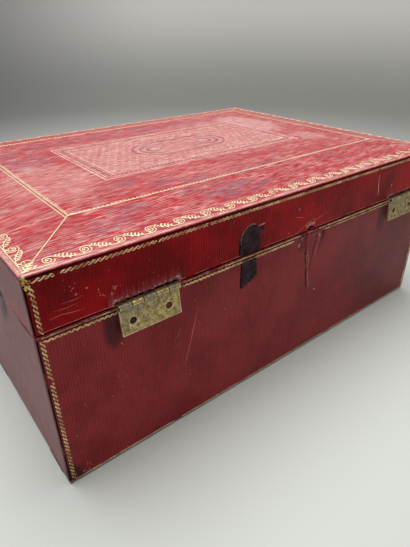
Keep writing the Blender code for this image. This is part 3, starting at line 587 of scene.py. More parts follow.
# %% Waves, wear and the layout of the hide
# Each spot is a soft oval: its middle across and deep, its half sizes, all in mm, and its amount.
PALE_SPOTS = ((-92, -26, 22, 42, 0.75), (-98, 42, 12, 18, 0.5), (112, 24, 30, 44, 0.4),
              (140, 40, 20, 40, 0.1), (-40, -30, 50, 34, 0.3), (20, -20, 60, 30, 0.3))
# Grey patches on the lid's top: dust, and a painted reflection in the leather's sheen.
GREY_SPOTS = ((78, 55, 10, 7, 0.9), (59, 68, 16, 6, 0.6), (39, 75, 14, 6, 0.6), (-5, 76, 30, 7, 0.4),
              (28, 97, 28, 9, 0.9), (111, 98, 14, 7, 0.8), (96, 90, 16, 6, 0.6), (48, 86, 20, 7, 0.5),
              (112, -30, 24, 30, 0.6), (-65, 89, 24, 6, 0.35), (10, -62, 120, 14, 0.5))
PANEL = (83.5, 43.0)
PANEL_DUST = 0.5
# Dark ovals on the back wall: painted shadows beside both hinges and along the tear, a small dark spot near
# the foot at the end of positive x, and a broad faint darkening towards the other end.
BACK_WALL_DARK_SPOTS = ((124, 88, 6, 16, 0.8), (-101, 86, 6, 18, 0.75), (-10, 92, 5, 9, 0.5), (-31, 90, 4, 8, 0.35),
              (158, 4, 8, 10, 0.9), (-130, 40, 60, 60, 0.35))
# Two dark spots on the end wall of positive x, a little under the rim.
END_DARK_SPOTS = ((71, 92, 5, 9, 0.95), (65, 84, 5, 6, 0.6))
# The grey and pale on the end walls are a painted reflection of the bright room at a grazing angle.
END_REFLECTION_GREY, END_REFLECTION_PALE = 0.95, 0.25


def panel_share(across, deep):
    """Full inside the blind panel, and fading over a few millimetres at its outline."""
    gap = min(PANEL[0] - abs(across) / MM, PANEL[1] - abs(deep) / MM)
    return PANEL_DUST * max(0.0, min(1.0, gap / 3))


def spot_share(across, deep, spots):
    """How strongly a place lies in one of some soft ovals: middle, half sizes in mm, and amount."""
    best = 0.0
    for middle_across, middle_deep, half_across, half_deep, amount in spots:
        aside = (across / MM - middle_across) / half_across
        ahead = (deep / MM - middle_deep) / half_deep
        best = max(best, amount * min(1.0, 2 * max(0.0, 1 - (aside ** 2 + ahead ** 2))))
    return best


def edge_gaps(spot, low, high):
    """Distances to the nearest end, side and rim, the smallest first."""
    x, y, z = spot
    return sorted((HALF_LENGTH - abs(x), HALF_DEPTH - abs(y), max(0.0, min(high - z, z - low))))


def settle(shape, depth, low, high):
    """Pushes points inwards a little, by smooth noise, and least along the edges."""
    shape.normal_update()
    for vert in shape.verts:
        wave = 0.5 + 0.5 * noise.noise(vert.co * 22) + 0.25 * noise.noise(vert.co * 90)
        free = min(1.0, 0.12 + edge_gaps(vert.co, low, high)[1] / (9 * MM))
        vert.co -= vert.normal * depth * max(0.0, wave) * free


def mark_skin(shape, low, high, lid):
    """Gives each point its wear, dust, painted light and shade, and each face its place on the hide."""
    rub_and_highlight, fade_and_sheen, grime_and_shade, pale, grey = (shape.verts.layers.float.new(label)
                                     for label in ("rub_and_highlight", "fade_and_sheen", "grime_and_shade", "pale", "grey"))
    for vert in shape.verts:
        x, y, z = vert.co
        gaps = edge_gaps(vert.co, low, high)
        up = max(0.0, vert.normal.z)
        upright = up < 0.3 and HALF_LENGTH - abs(x) < 4 * MM and HALF_DEPTH - abs(y) < 2 * MM
        # Edges: wear, and a painted highlight where the rounded edge catches the light.
        vert[rub_and_highlight] = max(0.0, 1 - gaps[1] / (1.1 * MM)) * (0.55 if upright else 1.0)
        if upright:
            strip = (HALF_LENGTH - abs(x)) / MM
            vert[grime_and_shade] = 0.8 * max(0.0, 1 - abs(strip - 0.8) / 1.3)
        if lid:
            # What faces up is faded, with a painted sheen.
            vert[fade_and_sheen] = up ** 2
            # A pale strip along the lid's rim is a painted highlight, stronger on the near half.
            near = 1.0 if x > -20 * MM else 0.55
            strip = max(0.0, min(1.0, (2.6 - gaps[1] / MM) / 1.2)) * up ** 2 * near
            # Pale on top: the rim's painted highlight and dust; on the end walls, a painted reflection.
            vert[pale] = max(0.9 * strip, up ** 2 * max(spot_share(x, y, PALE_SPOTS), panel_share(x, y)),
                             END_REFLECTION_PALE * vert.normal.x ** 2)
            # Grey on top: dust and a painted reflection in spots; on the end walls, a painted reflection.
            grey_spot_share = spot_share(x, y, GREY_SPOTS) * (1 - strip)
            vert[grey] = up ** 2 * grey_spot_share + END_REFLECTION_GREY * vert.normal.x ** 2
        else:
            # A painted contact shadow along the base's foot.
            vert[grime_and_shade] = max(vert[grime_and_shade], 0.85 * max(0.0, 1 - (z - low) / (1.2 * MM)))
            # On the base's end walls, the grey and pale are a painted reflection.
            vert[grey] = END_REFLECTION_GREY * vert.normal.x ** 2
            vert[pale] = END_REFLECTION_PALE * vert.normal.x ** 2
        # On the back wall: painted shadows beside the hinges and at the tear, and dark spots.
        if y > HALF_DEPTH - 3 * MM:
            vert[grime_and_shade] = max(vert[grime_and_shade], spot_share(x, z, BACK_WALL_DARK_SPOTS) if z < RIM + MM else 0.0)
        # Two dark spots on that end wall.
        if x > HALF_LENGTH - MM:
            vert[grime_and_shade] = max(vert[grime_and_shade], spot_share(y, z, END_DARK_SPOTS))
    hide = shape.loops.layers.uv.new("hide")
    for face in shape.faces:
        out = [abs(part) for part in face.normal]
        side = out.index(max(out))
        for loop in face.loops:
            x, y, z = loop.vert.co
            loop[hide].uv = ((y + 1, z), (x, z + 1), (y, x + 2))[side]


def open_skin(shape, x, y, z):
    """Cuts a box-shaped hole: the faces whose middles lie inside go, and lone points with them."""
    for axis, span in enumerate((x, y, z)):
        rule_cuts(shape, axis, [end for end in span if abs(end) < 0.5])
    inside = [face for face in shape.faces
              if all(span[0] < part < span[1]
                     for part, span in zip(face.calc_center_median(), (x, y, z)))]
    bmesh.ops.delete(shape, geom=inside, context="FACES")


print("skin helpers ready")

# %% [markdown]
# The base's cover goes up the walls, over the rim and into the mouth, and is turned in under the
# floor. A tear runs down the back from the rim, where the skin has split and lifted: a narrow
# flap stands proud between a crack on one side and a crease on the other.

# %% The base's leather
CRACK = ((97.0, -14.7), (88.6, -14.4), (79.3, -16.1), (71.2, -18.0), (65.0, -18.0), (52.0, -21.0))
CREASE = ((97.0, -25.0), (91.5, -23.6), (81.8, -22.2), (73.7, -20.6), (66.0, -20.4))
FOLD = ((97.0, -32.0), (90.0, -30.4), (84.0, -28.4), (77.0, -27.0))


def follow(line, z):
    """Where a crack or crease lies at a height, in metres, from its listed points in millimetres."""
    for (upper, here), (lower, there) in zip(line, line[1:]):
        if lower * MM <= z <= upper * MM:
            share = (z - lower * MM) / ((upper - lower) * MM)
            return (there + (here - there) * share) * MM
    return None


def tear_back(shape):
    """Opens the crack, lifts the flap and its neighbour, and sinks the creases beside them. The crack gets
    painted shade and dirt, the creases, the fold and the flap painted shade, and the ridge a painted
    highlight.
    """
    grime_and_shade, rub_and_highlight, pale = (shape.verts.layers.float[label] for label in ("grime_and_shade", "rub_and_highlight", "pale"))
    for vert in shape.verts:
        x, y, z = vert.co
        if y < HALF_DEPTH - 2 * MM:
            continue
        crack, crease, fold = (follow(line, z) for line in (CRACK, CREASE, FOLD))
        if crack is not None:
            near = max(0.0, 1 - abs(x - crack - 0.6 * MM) / (1.1 * MM))
            vert.co.y -= 0.6 * MM * near
            # Painted shade and dirt in the open crack.
            vert[grime_and_shade] = max(vert[grime_and_shade], (0.95 if z < 84 * MM else 0.4) * near)
            lip = max(0.0, 1 - abs(x - crack + 1.2 * MM) / (1.0 * MM))
            vert[pale] = max(vert[pale], (0.1 if z > 84 * MM else 0.35) * lip)
            vert.co.y += 0.3 * MM * lip
        if crease is not None and crack is not None:
            if crease < x < crack:
                lift = math.sin(math.pi * (x - crease) / (crack - crease))
                vert.co.y += 0.6 * MM * lift * min(1.0, max(0.0, (z - 0.068) / 0.02))
                # Painted shade on the lifted flap.
                vert[grime_and_shade] = max(vert[grime_and_shade], 0.2 * lift)
            near = max(0.0, 1 - abs(x - crease) / (1.1 * MM))
            vert.co.y -= 0.5 * MM * near
            # Painted shade in the crease.
            vert[grime_and_shade] = max(vert[grime_and_shade], 0.42 * near)
        if fold is not None and crease is not None:
            ridge = max(0.0, 1 - abs(x - (crease + fold) / 2) / (1.5 * MM))
            vert.co.y += 0.6 * MM * ridge
            # A painted highlight on the ridge between the crease and the fold.
            vert[pale] = max(vert[pale], 0.22 * ridge)
            near = max(0.0, 1 - abs(x - fold) / (1.0 * MM))
            vert.co.y -= 0.4 * MM * near
            # Painted shade in the fold.
            vert[grime_and_shade] = max(vert[grime_and_shade], 0.6 * near)


def edge_cuts(half):
    """Extra cuts close to both ends, where the wear is finer than the cells."""
    return [way * (half - gap * MM) for way in (-1, 1) for gap in (0.4, 0.8, 1.6, 2.3, 3.1, 4.2)]


def make_base_leather():
    shape = box_skin(FOOT, RIM)
    rule_cuts(shape, 0, steps(-HALF_LENGTH, HALF_LENGTH, CELL) + steps(-37 * MM, -9 * MM, 0.6 * MM)
              + edge_cuts(HALF_LENGTH))
    rule_cuts(shape, 1, steps(-HALF_DEPTH, HALF_DEPTH, CELL))
    rule_cuts(shape, 2, steps(FOOT, RIM, CELL) + [RIM - 1.5 * MM, FOOT + 1.5 * MM, FOOT + 0.9 * MM])
    rim_faces = (RIM - 1.5 * MM, 1.0)
    open_skin(shape, (-ROOM_LENGTH, ROOM_LENGTH), (-ROOM_DEPTH, ROOM_DEPTH), rim_faces)
    inside = HALF_LENGTH - TURN_IN, HALF_DEPTH - TURN_IN
    open_skin(shape, (-inside[0], inside[0]), (-inside[1], inside[1]), (-1.0, FOOT + 1 * MM))
    plate_low, plate_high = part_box("lock_plate")
    gap = 0.3 * MM
    open_skin(shape, (plate_low.x - gap, plate_high.x + gap), (plate_low.y - gap, 0), rim_faces)
    open_skin(shape, (-3 * MM, 3 * MM), (-1.0, -HALF_DEPTH + 2 * MM), (71 * MM, 82 * MM))
    mark_skin(shape, FOOT, RIM, False)
    settle(shape, 0.2 * MM, FOOT, RIM)
    tear_back(shape)
    smooth_faces(shape)
    return shape


base_shape = make_base_leather()
base_surface = BVHTree.FromBMesh(base_shape)
base_cover = make_piece("base_cover", base_shape, base_morocco, "base", ["base_leather"])
add_wall(base_cover, 0.7 * MM)

# %% [markdown]
# The lid's cover is one skin over the sloping borders, the raised field and the four sides. At the
# back it was cut away round each hinge, and years of opening have frayed those edges.

# %% The lid's leather
HINGES = ("hinge_right", "hinge_left")
NOTCH_TOP, FRAY_TOP = 100 * MM, 104 * MM


def fray(shape, low, high):
    """Moves the points on the torn edge of a hinge notch by chance, and lifts them."""
    chance = random.Random(7)
    fade_and_sheen, grey = (shape.verts.layers.float[label] for label in ("fade_and_sheen", "grey"))
    for vert in shape.verts:
        x, y, z = vert.co
        if y > HALF_DEPTH - 1.2 * MM and low.x - 4 * MM < x < high.x + 4 * MM and z < FRAY_TOP:
            near = 1.0 if vert.is_boundary else 0.35
            vert.co.z += chance.uniform(-0.9, 0.7) * MM * near * (z > LID_FOOT + 1 * MM)
            vert.co.y += chance.uniform(0.0, 0.5) * MM * near
            vert[fade_and_sheen] = 0.25 * near
            vert[grey] = max(0.0, 0.75 - max(0.0, z - NOTCH_TOP) / (4 * MM))


def press_rim(shape):
    """A shallow groove just under the lid's top edge, which leaves the rim standing proud, with the rim's
    painted shadow laid in it.
    """
    grime_and_shade = shape.verts.layers.float["grime_and_shade"]
    for vert in shape.verts:
        down = (LID_EDGE - vert.co.z) / MM
        if abs(vert.normal.z) < 0.4 and down > 0:
            near = max(0.0, 1 - abs(down - 1.7) / 0.8)
            vert.co -= vert.normal * 0.35 * MM * near
            # Painted shadow of the proud rim, in the groove.
            vert[grime_and_shade] = max(vert[grime_and_shade], 0.75 * near)


def make_lid_leather():
    shape = box_skin(LID_FOOT, LID_EDGE, LID_RISE)
    rule_cuts(shape, 0, steps(-HALF_LENGTH, HALF_LENGTH, CELL) + edge_cuts(HALF_LENGTH))
    rule_cuts(shape, 1, steps(-HALF_DEPTH, HALF_DEPTH, CELL) + edge_cuts(HALF_DEPTH))
    rule_cuts(shape, 2, steps(LID_FOOT, LID_EDGE, CELL) + [LID_FOOT + 1.5 * MM, LID_FOOT + 0.8 * MM]
              + [LID_EDGE - down * MM for down in (0.9, 1.7, 2.5)])
    fields = (HALF_LENGTH - SLOPE, HALF_DEPTH - SLOPE)
    for axis, place in enumerate(fields):
        rule_cuts(shape, axis, [way * (place + extra) for way in (-1, 1) for extra in (-MM, 0, MM)])
    open_skin(shape, (-ROOM_LENGTH, ROOM_LENGTH), (-ROOM_DEPTH, ROOM_DEPTH), (-1.0, LID_FOOT + 1 * MM))
    gap = 0.3 * MM
    keep_low, keep_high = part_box("lock_striker")
    open_skin(shape, (keep_low.x - gap, keep_high.x + gap), (keep_low.y - gap, keep_high.y + gap),
              (-1.0, LID_FOOT + 1 * MM))
    for hinge in HINGES:
        low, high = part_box(f"{hinge}_upper_leaf")
        rule_cuts(shape, 0, steps(low.x - 2 * MM, high.x + 2 * MM, 1 * MM))
        open_skin(shape, (low.x - 0.6 * MM, high.x + 0.6 * MM), (low.y - gap, 1.0),
                  (-1.0, high.z + 1.4 * MM))
    mark_skin(shape, LID_FOOT, LID_EDGE, True)
    settle(shape, 0.35 * MM, LID_FOOT, LID_EDGE)
    press_rim(shape)
    for hinge in HINGES:
        fray(shape, *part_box(f"{hinge}_upper_leaf"))
    smooth_faces(shape)
    return shape


lid_shape = make_lid_leather()
lid_surface = BVHTree.FromBMesh(lid_shape)
lid_cover = make_piece("lid_cover", lid_shape, lid_morocco, "lid", ["lid_leather"])
add_wall(lid_cover, 0.7 * MM)

# %% [markdown]
# Gilt tooling comes next. A binder works from a straight edge: rolls and fillets run along each
# side, at a distance in from the edge. So each side gets a Run: a start, a way along, a way in and
# a way out of the leather. A stroke is a line of points in millimetres along and in from there.

# %% Runs along the sides
def make_run(start, along, inward):
    along, inward = Vector(along).normalized(), Vector(inward).normalized()
    return {"start": Vector(start), "along": along, "in": inward, "out": along.cross(inward)}


TILT = math.atan2(LID_RISE, SLOPE)
LONG, SHORT = 2 * HALF_LENGTH / MM, 2 * HALF_DEPTH / MM


def slope_run(x, y, along, inward):
    """A run on the lid's sloping border, from a corner."""
    way = Vector(inward) * math.cos(TILT) + Vector((0, 0, math.sin(TILT)))
    return make_run((x, y, LID_EDGE), along, way)


slope_runs = {"back": slope_run(HALF_LENGTH, HALF_DEPTH, (-1, 0, 0), (0, -1, 0)),
              "left": slope_run(-HALF_LENGTH, HALF_DEPTH, (0, -1, 0), (1, 0, 0)),
              "front": slope_run(-HALF_LENGTH, -HALF_DEPTH, (1, 0, 0), (0, 1, 0)),
              "right": slope_run(HALF_LENGTH, -HALF_DEPTH, (0, 1, 0), (-1, 0, 0))}
LENGTHS = {"back": LONG, "left": SHORT, "front": LONG, "right": SHORT}


def wall_run(side, height):
    """A run on the back or front wall that starts at its left end, seen from outside."""
    if side == "back":
        return make_run((HALF_LENGTH, HALF_DEPTH, height), (-1, 0, 0), (0, 0, 1))
    return make_run((-HALF_LENGTH, -HALF_DEPTH, height), (1, 0, 0), (0, 0, 1))


print("the lid's borders slope", round(math.degrees(TILT), 1), "degrees")

# %% [markdown]
# A gilt line is a flat ribbon of gold about half a millimetre wide. Each stroke becomes a curve
# with a four-sided bevel, is turned into a mesh, pressed flat, and laid on the leather by a ray
# that finds the surface under each point. Where leather or gold is gone, the stroke is broken off.

# %% Laying gilt strokes on the leather
PRESSED = 0.16
PROUD = 0.05 * MM


def find_surface(surface, run, along, inward):
    """The point of the leather under a place on the run, or None where the leather is cut away."""
    above = run["start"] + run["along"] * along + run["in"] * inward + run["out"] * 3 * MM
    return surface.ray_cast(above, -run["out"], 6 * MM)[0]


def kept_parts(stroke, run, surface, loss):
    """Splits a stroke where there is no leather under it, or where its gold has worn off."""
    parts, current = [], []
    for point in stroke:
        spot = find_surface(surface, run, point[0] * MM, point[1] * MM)
        worn = spot is not None and noise.noise(spot * 160) + 0.5 * noise.noise(spot * 700) > 0.75 - loss
        if spot is None or worn:
            parts.append(current)
            current = []
        else:
            current.append(point)
    return [part for part in parts + [current] if len(part) > 1]


def strokes_mesh(strokes):
    """One mesh of all strokes, flat in the plane of along and in; each stroke is (points, width).
    A point's third number, if it has one, swells or narrows the stroke there."""
    line = bpy.data.curves.new("strokes", "CURVE")
    line.dimensions = "3D"
    line.bevel_depth = MM / 2
    line.bevel_resolution = 0
    line.use_fill_caps = True
    for points, width in strokes:
        spline = line.splines.new("POLY")
        spline.points.add(len(points) - 1)
        for knot, (along, inward, *swell) in zip(spline.points, points):
            knot.co = (along * MM, inward * MM, 0, 1)
            knot.radius = width * (swell[0] if swell else 1.0)
    holder = bpy.data.objects.new("strokes", line)
    bpy.context.scene.collection.objects.link(holder)
    mesh = bpy.data.meshes.new_from_object(holder)
    bpy.data.objects.remove(holder)
    return mesh


def gild(name, material, body, jobs, loss=0.0, proud=PROUD):
    """Makes one piece from jobs, each a run with the strokes that were worked along it."""
    surface = lid_surface if body == "lid" else base_surface
    whole = bmesh.new()
    for run, strokes in jobs:
        kept = [(part, width) for points, width in strokes
                for part in kept_parts(points, run, surface, loss)]
        if not kept:
            continue
        mesh = strokes_mesh(kept)
        for vert in mesh.vertices:
            along, inward, height = vert.co
            spot = find_surface(surface, run, along, inward)
            if spot is None:
                spot = run["start"] + run["along"] * along + run["in"] * inward
            vert.co = spot + run["out"] * (proud + height * PRESSED)
        whole.from_mesh(mesh)
        bpy.data.meshes.remove(mesh)
    return make_piece(name, whole, material, body)


def sweep(centre, first, last, start, turn, count):
    """Points on an arc or spiral: radius from first to last, angle from start through turn."""
    points = []
    for number in range(count + 1):
        share = number / count
        angle = math.radians(start + turn * share)
        radius = first + (last - first) * share
        points.append((centre[0] + radius * math.cos(angle), centre[1] + radius * math.sin(angle)))
    return points


def ruled(start, end, size=3.0):
    """A straight stroke cut into short steps, so that it can follow the leather."""
    count = max(1, round(math.dist(start, end) / size))
    return [(start[0] + (end[0] - start[0]) * number / count,
             start[1] + (end[1] - start[1]) * number / count) for number in range(count + 1)]


print("a quarter turn of 2 mm:", [tuple(round(v, 2) for v in p) for p in sweep((0, 0), 2, 2, 0, 90, 3)])

# %% [markdown]
# The widest band is a running scroll: each volute winds in to a small eye, and its stem runs on
# under the next volute with leaves along its back. It is a traditional binder's roll, and one
# repeat is about 16 mm long.

# %% The scroll roll on the lid's border
SCROLL_REPEAT = 16.3
SCROLL_IN = 5.9
FIRST_VOLUTE, LAST_VOLUTE = 13.9, 9.2
LINE = 0.72


def leaf(base, length, angle, width):
    """A filled leaf: a short stroke that swells, bends a little and ends in a point."""
    turned = math.radians(angle)
    ahead, aside = (math.cos(turned), math.sin(turned)), (-math.sin(turned), math.cos(turned))
    spine = ((0, 0, 0.5), (0.3, 0.1, 1.1), (0.62, 0.12, 1.3), (0.86, 0.05, 0.9), (1.0, -0.04, 0.3))
    return [(base[0] + length * (u * ahead[0] + v * aside[0]),
             base[1] + length * (u * ahead[1] + v * aside[1]), swell) for u, v, swell in spine], width


def volute(middle):
    """A spiral that winds in from its top, with a dot for an eye."""
    return [(sweep(middle, 2.4, 0.75, 88, 500, 18), LINE), (sweep(middle, 0.25, 0.25, 0, 300, 4), 0.8)]


STEM_LEAVES = ((3.6, 1.6, 1.6, 34), (5.0, 0.8, 2.2, 50), (6.5, -0.2, 2.6, 58), (8.1, -1.3, 2.7, 66),
               (9.7, -2.0, 2.4, 74), (11.3, -2.5, 1.9, 84), (6.0, -0.2, 1.4, -70), (8.2, -1.5, 1.5, -62),
               (14.4, -3.1, 1.7, 40))


def stem(middle, repeat):
    """The line from one volute's top to under the next one and up its far side, with its leaves."""
    s, t = middle
    stretch = repeat / SCROLL_REPEAT
    line = [(0, 2.4), (1.8, 2.25), (3.6, 1.5), (5.4, 0.3), (7.4, -1.0), (9.8, -2.1), (12.4, -2.8),
            (14.8, -3.1), (17.0, -3.0), (18.7, -1.9), (19.3, -0.3), (18.8, 1.0)]
    strokes = [([(s + u * stretch, t + v) for u, v in line], LINE)]
    for u, v, length, angle in STEM_LEAVES:
        strokes.append(leaf((s + u * stretch, t + v), length, angle, 0.95))
    return strokes


def scroll_row(length):
    """Volutes from corner to corner, each joined to the next by a stem."""
    count = round((length - FIRST_VOLUTE - LAST_VOLUTE) / SCROLL_REPEAT)
    repeat = (length - FIRST_VOLUTE - LAST_VOLUTE) / count
    row = []
    for number in range(count + 1):
        middle = (FIRST_VOLUTE + repeat * number, SCROLL_IN)
        row += volute(middle) + (stem(middle, repeat) if number < count else [])
    return row


def corner_spray():
    """A tree of leaves along the mitre at the start of a run, and the stem that leaves it."""
    strokes = [(ruled((2.2, 2.2), (9.6, 9.6), 1.2), LINE),
               ([(4.6, 3.4), (8.0, 3.0), (11.5, 2.75), (14.6, 2.85), (16.3, 4.0), (16.9, 5.6)], LINE)]
    for along, inward, length, angle in ((2.4, 2.4, 2.6, 8), (2.4, 2.4, 2.6, 82), (3.9, 3.9, 2.8, 2),
                                         (3.9, 3.9, 2.8, 88), (5.4, 5.4, 2.3, 8), (5.4, 5.4, 2.3, 82),
                                         (6.9, 6.9, 1.8, 14), (6.9, 6.9, 1.8, 76), (7.4, 3.3, 2.2, 38)):
        strokes.append(leaf((along, inward), length, angle, 1.15))
    return strokes


gild("lid_scroll_roll", bright_gilt, "lid",
     [(slope_runs[side], scroll_row(LENGTHS[side]) + corner_spray()) for side in slope_runs], 0.08)

# %% [markdown]
# Plain gilt lines, which a binder calls fillets, cross each mitre from the box's corner to the
# field's, and lie near the two short edges. Along the field's long sides there is a row of small
# beads on a line, and on its short sides a comb of teeth between two lines.

# %% Fillets, beads and teeth on the lid
FIELD_IN = SLOPE / MM / math.cos(TILT)
MITRE = [(ruled((8, 8), (SLOPE / MM - 0.4, FIELD_IN - 0.4), 2.0), 0.75)]
BEAD_PITCH, TOOTH_PITCH = 2.5, 1.3


def spread(start, end, pitch):
    """Places from start to end, one pitch apart."""
    return [start + pitch * number for number in range(int((end - start) / pitch) + 1)]


def beads(length):
    """Small lobes that point into the field, on a line, and a filled leaf at both ends."""
    start, end = SLOPE / MM, length - SLOPE / MM
    row = [(ruled((start, FIELD_IN + 0.2), (end, FIELD_IN + 0.2)), 0.9)]
    for place in spread(start + 7, end - 7, BEAD_PITCH):
        row.append(([(place - 0.8, FIELD_IN + 0.8, 0.7), (place, FIELD_IN + 1.3, 1.2),
                     (place + 0.8, FIELD_IN + 1.1, 0.6)], 1.0))
    for place, way in ((start, 1), (end, -1)):
        row.append(([(place + way * u, FIELD_IN + v, swell) for u, v, swell in
                     ((-0.6, -0.3, 0.5), (1.2, 0.5, 1.1), (3.2, 0.9, 1.3), (5.6, 0.6, 0.5))], 1.7))
    return row


def teeth(length):
    """A comb of short teeth on an inner line, and a second line outside it."""
    start, end = SLOPE / MM, length - SLOPE / MM
    row = [(ruled((start, FIELD_IN + 0.3), (end, FIELD_IN + 0.3)), 0.55),
           (ruled((start - 1.2, FIELD_IN - 1.5), (end + 1.2, FIELD_IN - 1.5)), 0.72)]
    for place in spread(start + 2.5, end - 2.5, TOOTH_PITCH):
        row.append(([(place, FIELD_IN + 0.4), (place + 0.15, FIELD_IN + 1.8)], 0.5))
    return row


jobs = [(slope_runs[side], beads(LONG)) for side in ("back", "front")]
jobs += [(slope_runs[side], teeth(SHORT)) for side in ("left", "right")]
gild("lid_field_frame", bright_gilt, "lid", jobs, 0.06)
gild("lid_mitre_fillets", bright_gilt, "lid", [(slope_runs[side], MITRE) for side in slope_runs], -0.5)
gild("lid_end_fillets", bright_gilt, "lid",
     [(slope_runs[side], [(ruled((3.2, 2.6), (SHORT - 3.2, 2.6)), 0.6)]) for side in ("left", "right")],
     0.12)

# %% [markdown]
# In the middle of the lid a panel was tooled blind, which means pressed with no gold, and dust in
# the grooves makes it pale. It has a double outline, a dashed border, small flowers over its ground
# and rings at both ends of a long motif. The ornament here is a plain one of that kind.

# %% The blind panel in the middle
field_run = make_run((0, 0, lid_high.z), (-1, 0, 0), (0, -1, 0))


def frame_of(half_along, half_in, width):
    corners = [(-half_along, -half_in), (half_along, -half_in), (half_along, half_in),
               (-half_along, half_in)]
    return [(ruled(corners[number], corners[(number + 1) % 4]), width) for number in range(4)]


def dashes(half_along, half_in, pitch, width):
    marks = []
    for way in (-1, 1):
        for number in range(int(2 * half_along / pitch)):
            place = -half_along + pitch * (number + 0.3)
            marks.append(([(place, way * half_in), (place + pitch * 0.5, way * half_in + 0.3)], width))
        for number in range(int(2 * half_in / pitch)):
            place = -half_in + pitch * (number + 0.3)
            marks.append(([(way * half_along, place), (way * half_along + 0.3, place + pitch * 0.5)],
                          width))
    return marks


def rings(middle, radii, start=0, turn=360, width=0.35):
    arcs = []
    for radius in radii:
        points = sweep((0, 0), radius, radius, start, turn, max(8, int(radius * 3)))
        arcs.append(([(middle[0] + u, middle[1] + v) for u, v in points], width))
    return arcs


MOTIF = 22.0


def studs(half_along, half_in, pitch, width):
    """Small pressed flowers, each two crossing strokes, in offset rows over the panel's ground."""
    marks = []
    for row, inward in enumerate(spread(-half_in, half_in, pitch * 0.87)):
        for along in spread(-half_along + pitch / 2 * (row % 2), half_along, pitch):
            if math.hypot(max(0.0, abs(along) - MOTIF), inward) > 21:
                marks.append(([(along - 1.0, inward - 0.6), (along + 1.0, inward + 0.6)], width))
                marks.append(([(along - 0.8, inward + 0.8), (along + 0.8, inward - 0.8)], width))
    return marks


def panel_lines():
    """The pale lines: a double outline, an inner one, the studded ground and the rings."""
    along, inward = PANEL
    strokes = frame_of(along, inward, 1.1) + frame_of(along - 2.2, inward - 2.2, 0.7)
    strokes += frame_of(along - 8.5, inward - 8.5, 0.8) + studs(along - 11, inward - 11, 5.6, 0.55)
    for way in (-1, 1):
        strokes += rings((way * MOTIF, 0), (8, 13.5, 19), -100 if way > 0 else 80, 200, 0.6)
        strokes += rings((way * MOTIF, 0), (1.4, 3.0), width=0.7)
        for side in (-1, 1):
            strokes.append((ruled((-MOTIF, side * 19), (MOTIF, side * 19)), 0.6))
            strokes.append((ruled((-MOTIF, side * 8), (MOTIF, side * 8)), 0.5))
    return strokes


def panel_presses():
    """The dark lines, where the hot tool scorched the leather: dashes and the rings between."""
    along, inward = PANEL
    strokes = dashes(along - 5, inward - 5, 3.2, 1.0)
    for way in (-1, 1):
        strokes += rings((way * MOTIF, 0), (5.5, 11, 16.5), -100 if way > 0 else 80, 200, 0.7)
        for side in (-1, 1):
            strokes.append((ruled((-MOTIF, side * 16.5), (MOTIF, side * 16.5)), 0.6))
    return strokes


gild("lid_blind_panel", blind_dust, "lid", [(field_run, panel_lines())], 0.1, 0.03 * MM)
gild("lid_blind_shadow", blind_press, "lid", [(field_run, panel_presses())], 0.1, 0.03 * MM)

# %% [markdown]
# A narrow rope roll runs under the top edge of the lid and down beside the back and front corners.
# It is made of short S strokes, each slanting over the next. Below the parting, the base has a
# line and a small wave, and one more line runs along its foot.

# %% Ropes and lines on the walls
ROPE_PITCH = 2.7
ROPE_CURL = ((-2.0, -0.7, 0.5), (-1.2, -1.0, 1.0), (-0.5, -0.5, 1.15), (0.5, 0.5, 1.15), (1.2, 1.0, 1.0),
             (2.0, 0.7, 0.5))


def rope(start, end, level, upright=False, half=0.8, width=0.75):
    """Fat S strokes along a run, or leaning the other way up it if upright."""
    row = []
    for place in spread(start + ROPE_PITCH / 2, end - ROPE_PITCH / 2, ROPE_PITCH):
        if upright:
            row.append(([(level - v * half, place + u, swell) for u, v, swell in ROPE_CURL], width))
        else:
            row.append(([(place + u, level + v * half, swell) for u, v, swell in ROPE_CURL], width))
    return row


def ripple(start, end, level, half=0.5, pitch=2.7, width=1.0):
    """A wavy line with full crests."""
    count = int((end - start) / pitch * 6)
    return [([(start + pitch * number / 6, level + half * math.sin(math.tau * number / 6),
               1.0 + 0.3 * math.cos(math.tau * number / 3)) for number in range(count + 1)], width)]


EDGE = (LID_EDGE - LID_FOOT) / MM
HEIGHT = (RIM - FOOT) / MM
LID_CORNER_ROPE, BASE_CORNER_ROPE = 3.4, 2.9
TEAR_FROM, TEAR_TO = HALF_LENGTH / MM + 8, HALF_LENGTH / MM + 26
lid_walls = [wall_run(side, LID_FOOT) for side in ("back", "front")]
base_walls = [wall_run(side, FOOT) for side in ("back", "front")]
lid_ropes = rope(4.6, LONG - 4.6, EDGE - 3.3, half=0.66, width=0.7)
base_ropes = []
for way in (0, 1):
    lid_ropes += rope(0.5, EDGE - 4.2, abs(way * LONG - LID_CORNER_ROPE), True)
    base_ropes += rope(1.6, HEIGHT - 2.4, abs(way * LONG - BASE_CORNER_ROPE), True)


def line_at(level, start, end, width):
    return [(ruled((start, level), (end, level)), width)]


def gild_walls(name, material, body, strokes, loss):
    """The same strokes on the back and the front wall."""
    runs = lid_walls if body == "lid" else base_walls
    return gild(name, material, body, [(run, strokes) for run in runs], loss)


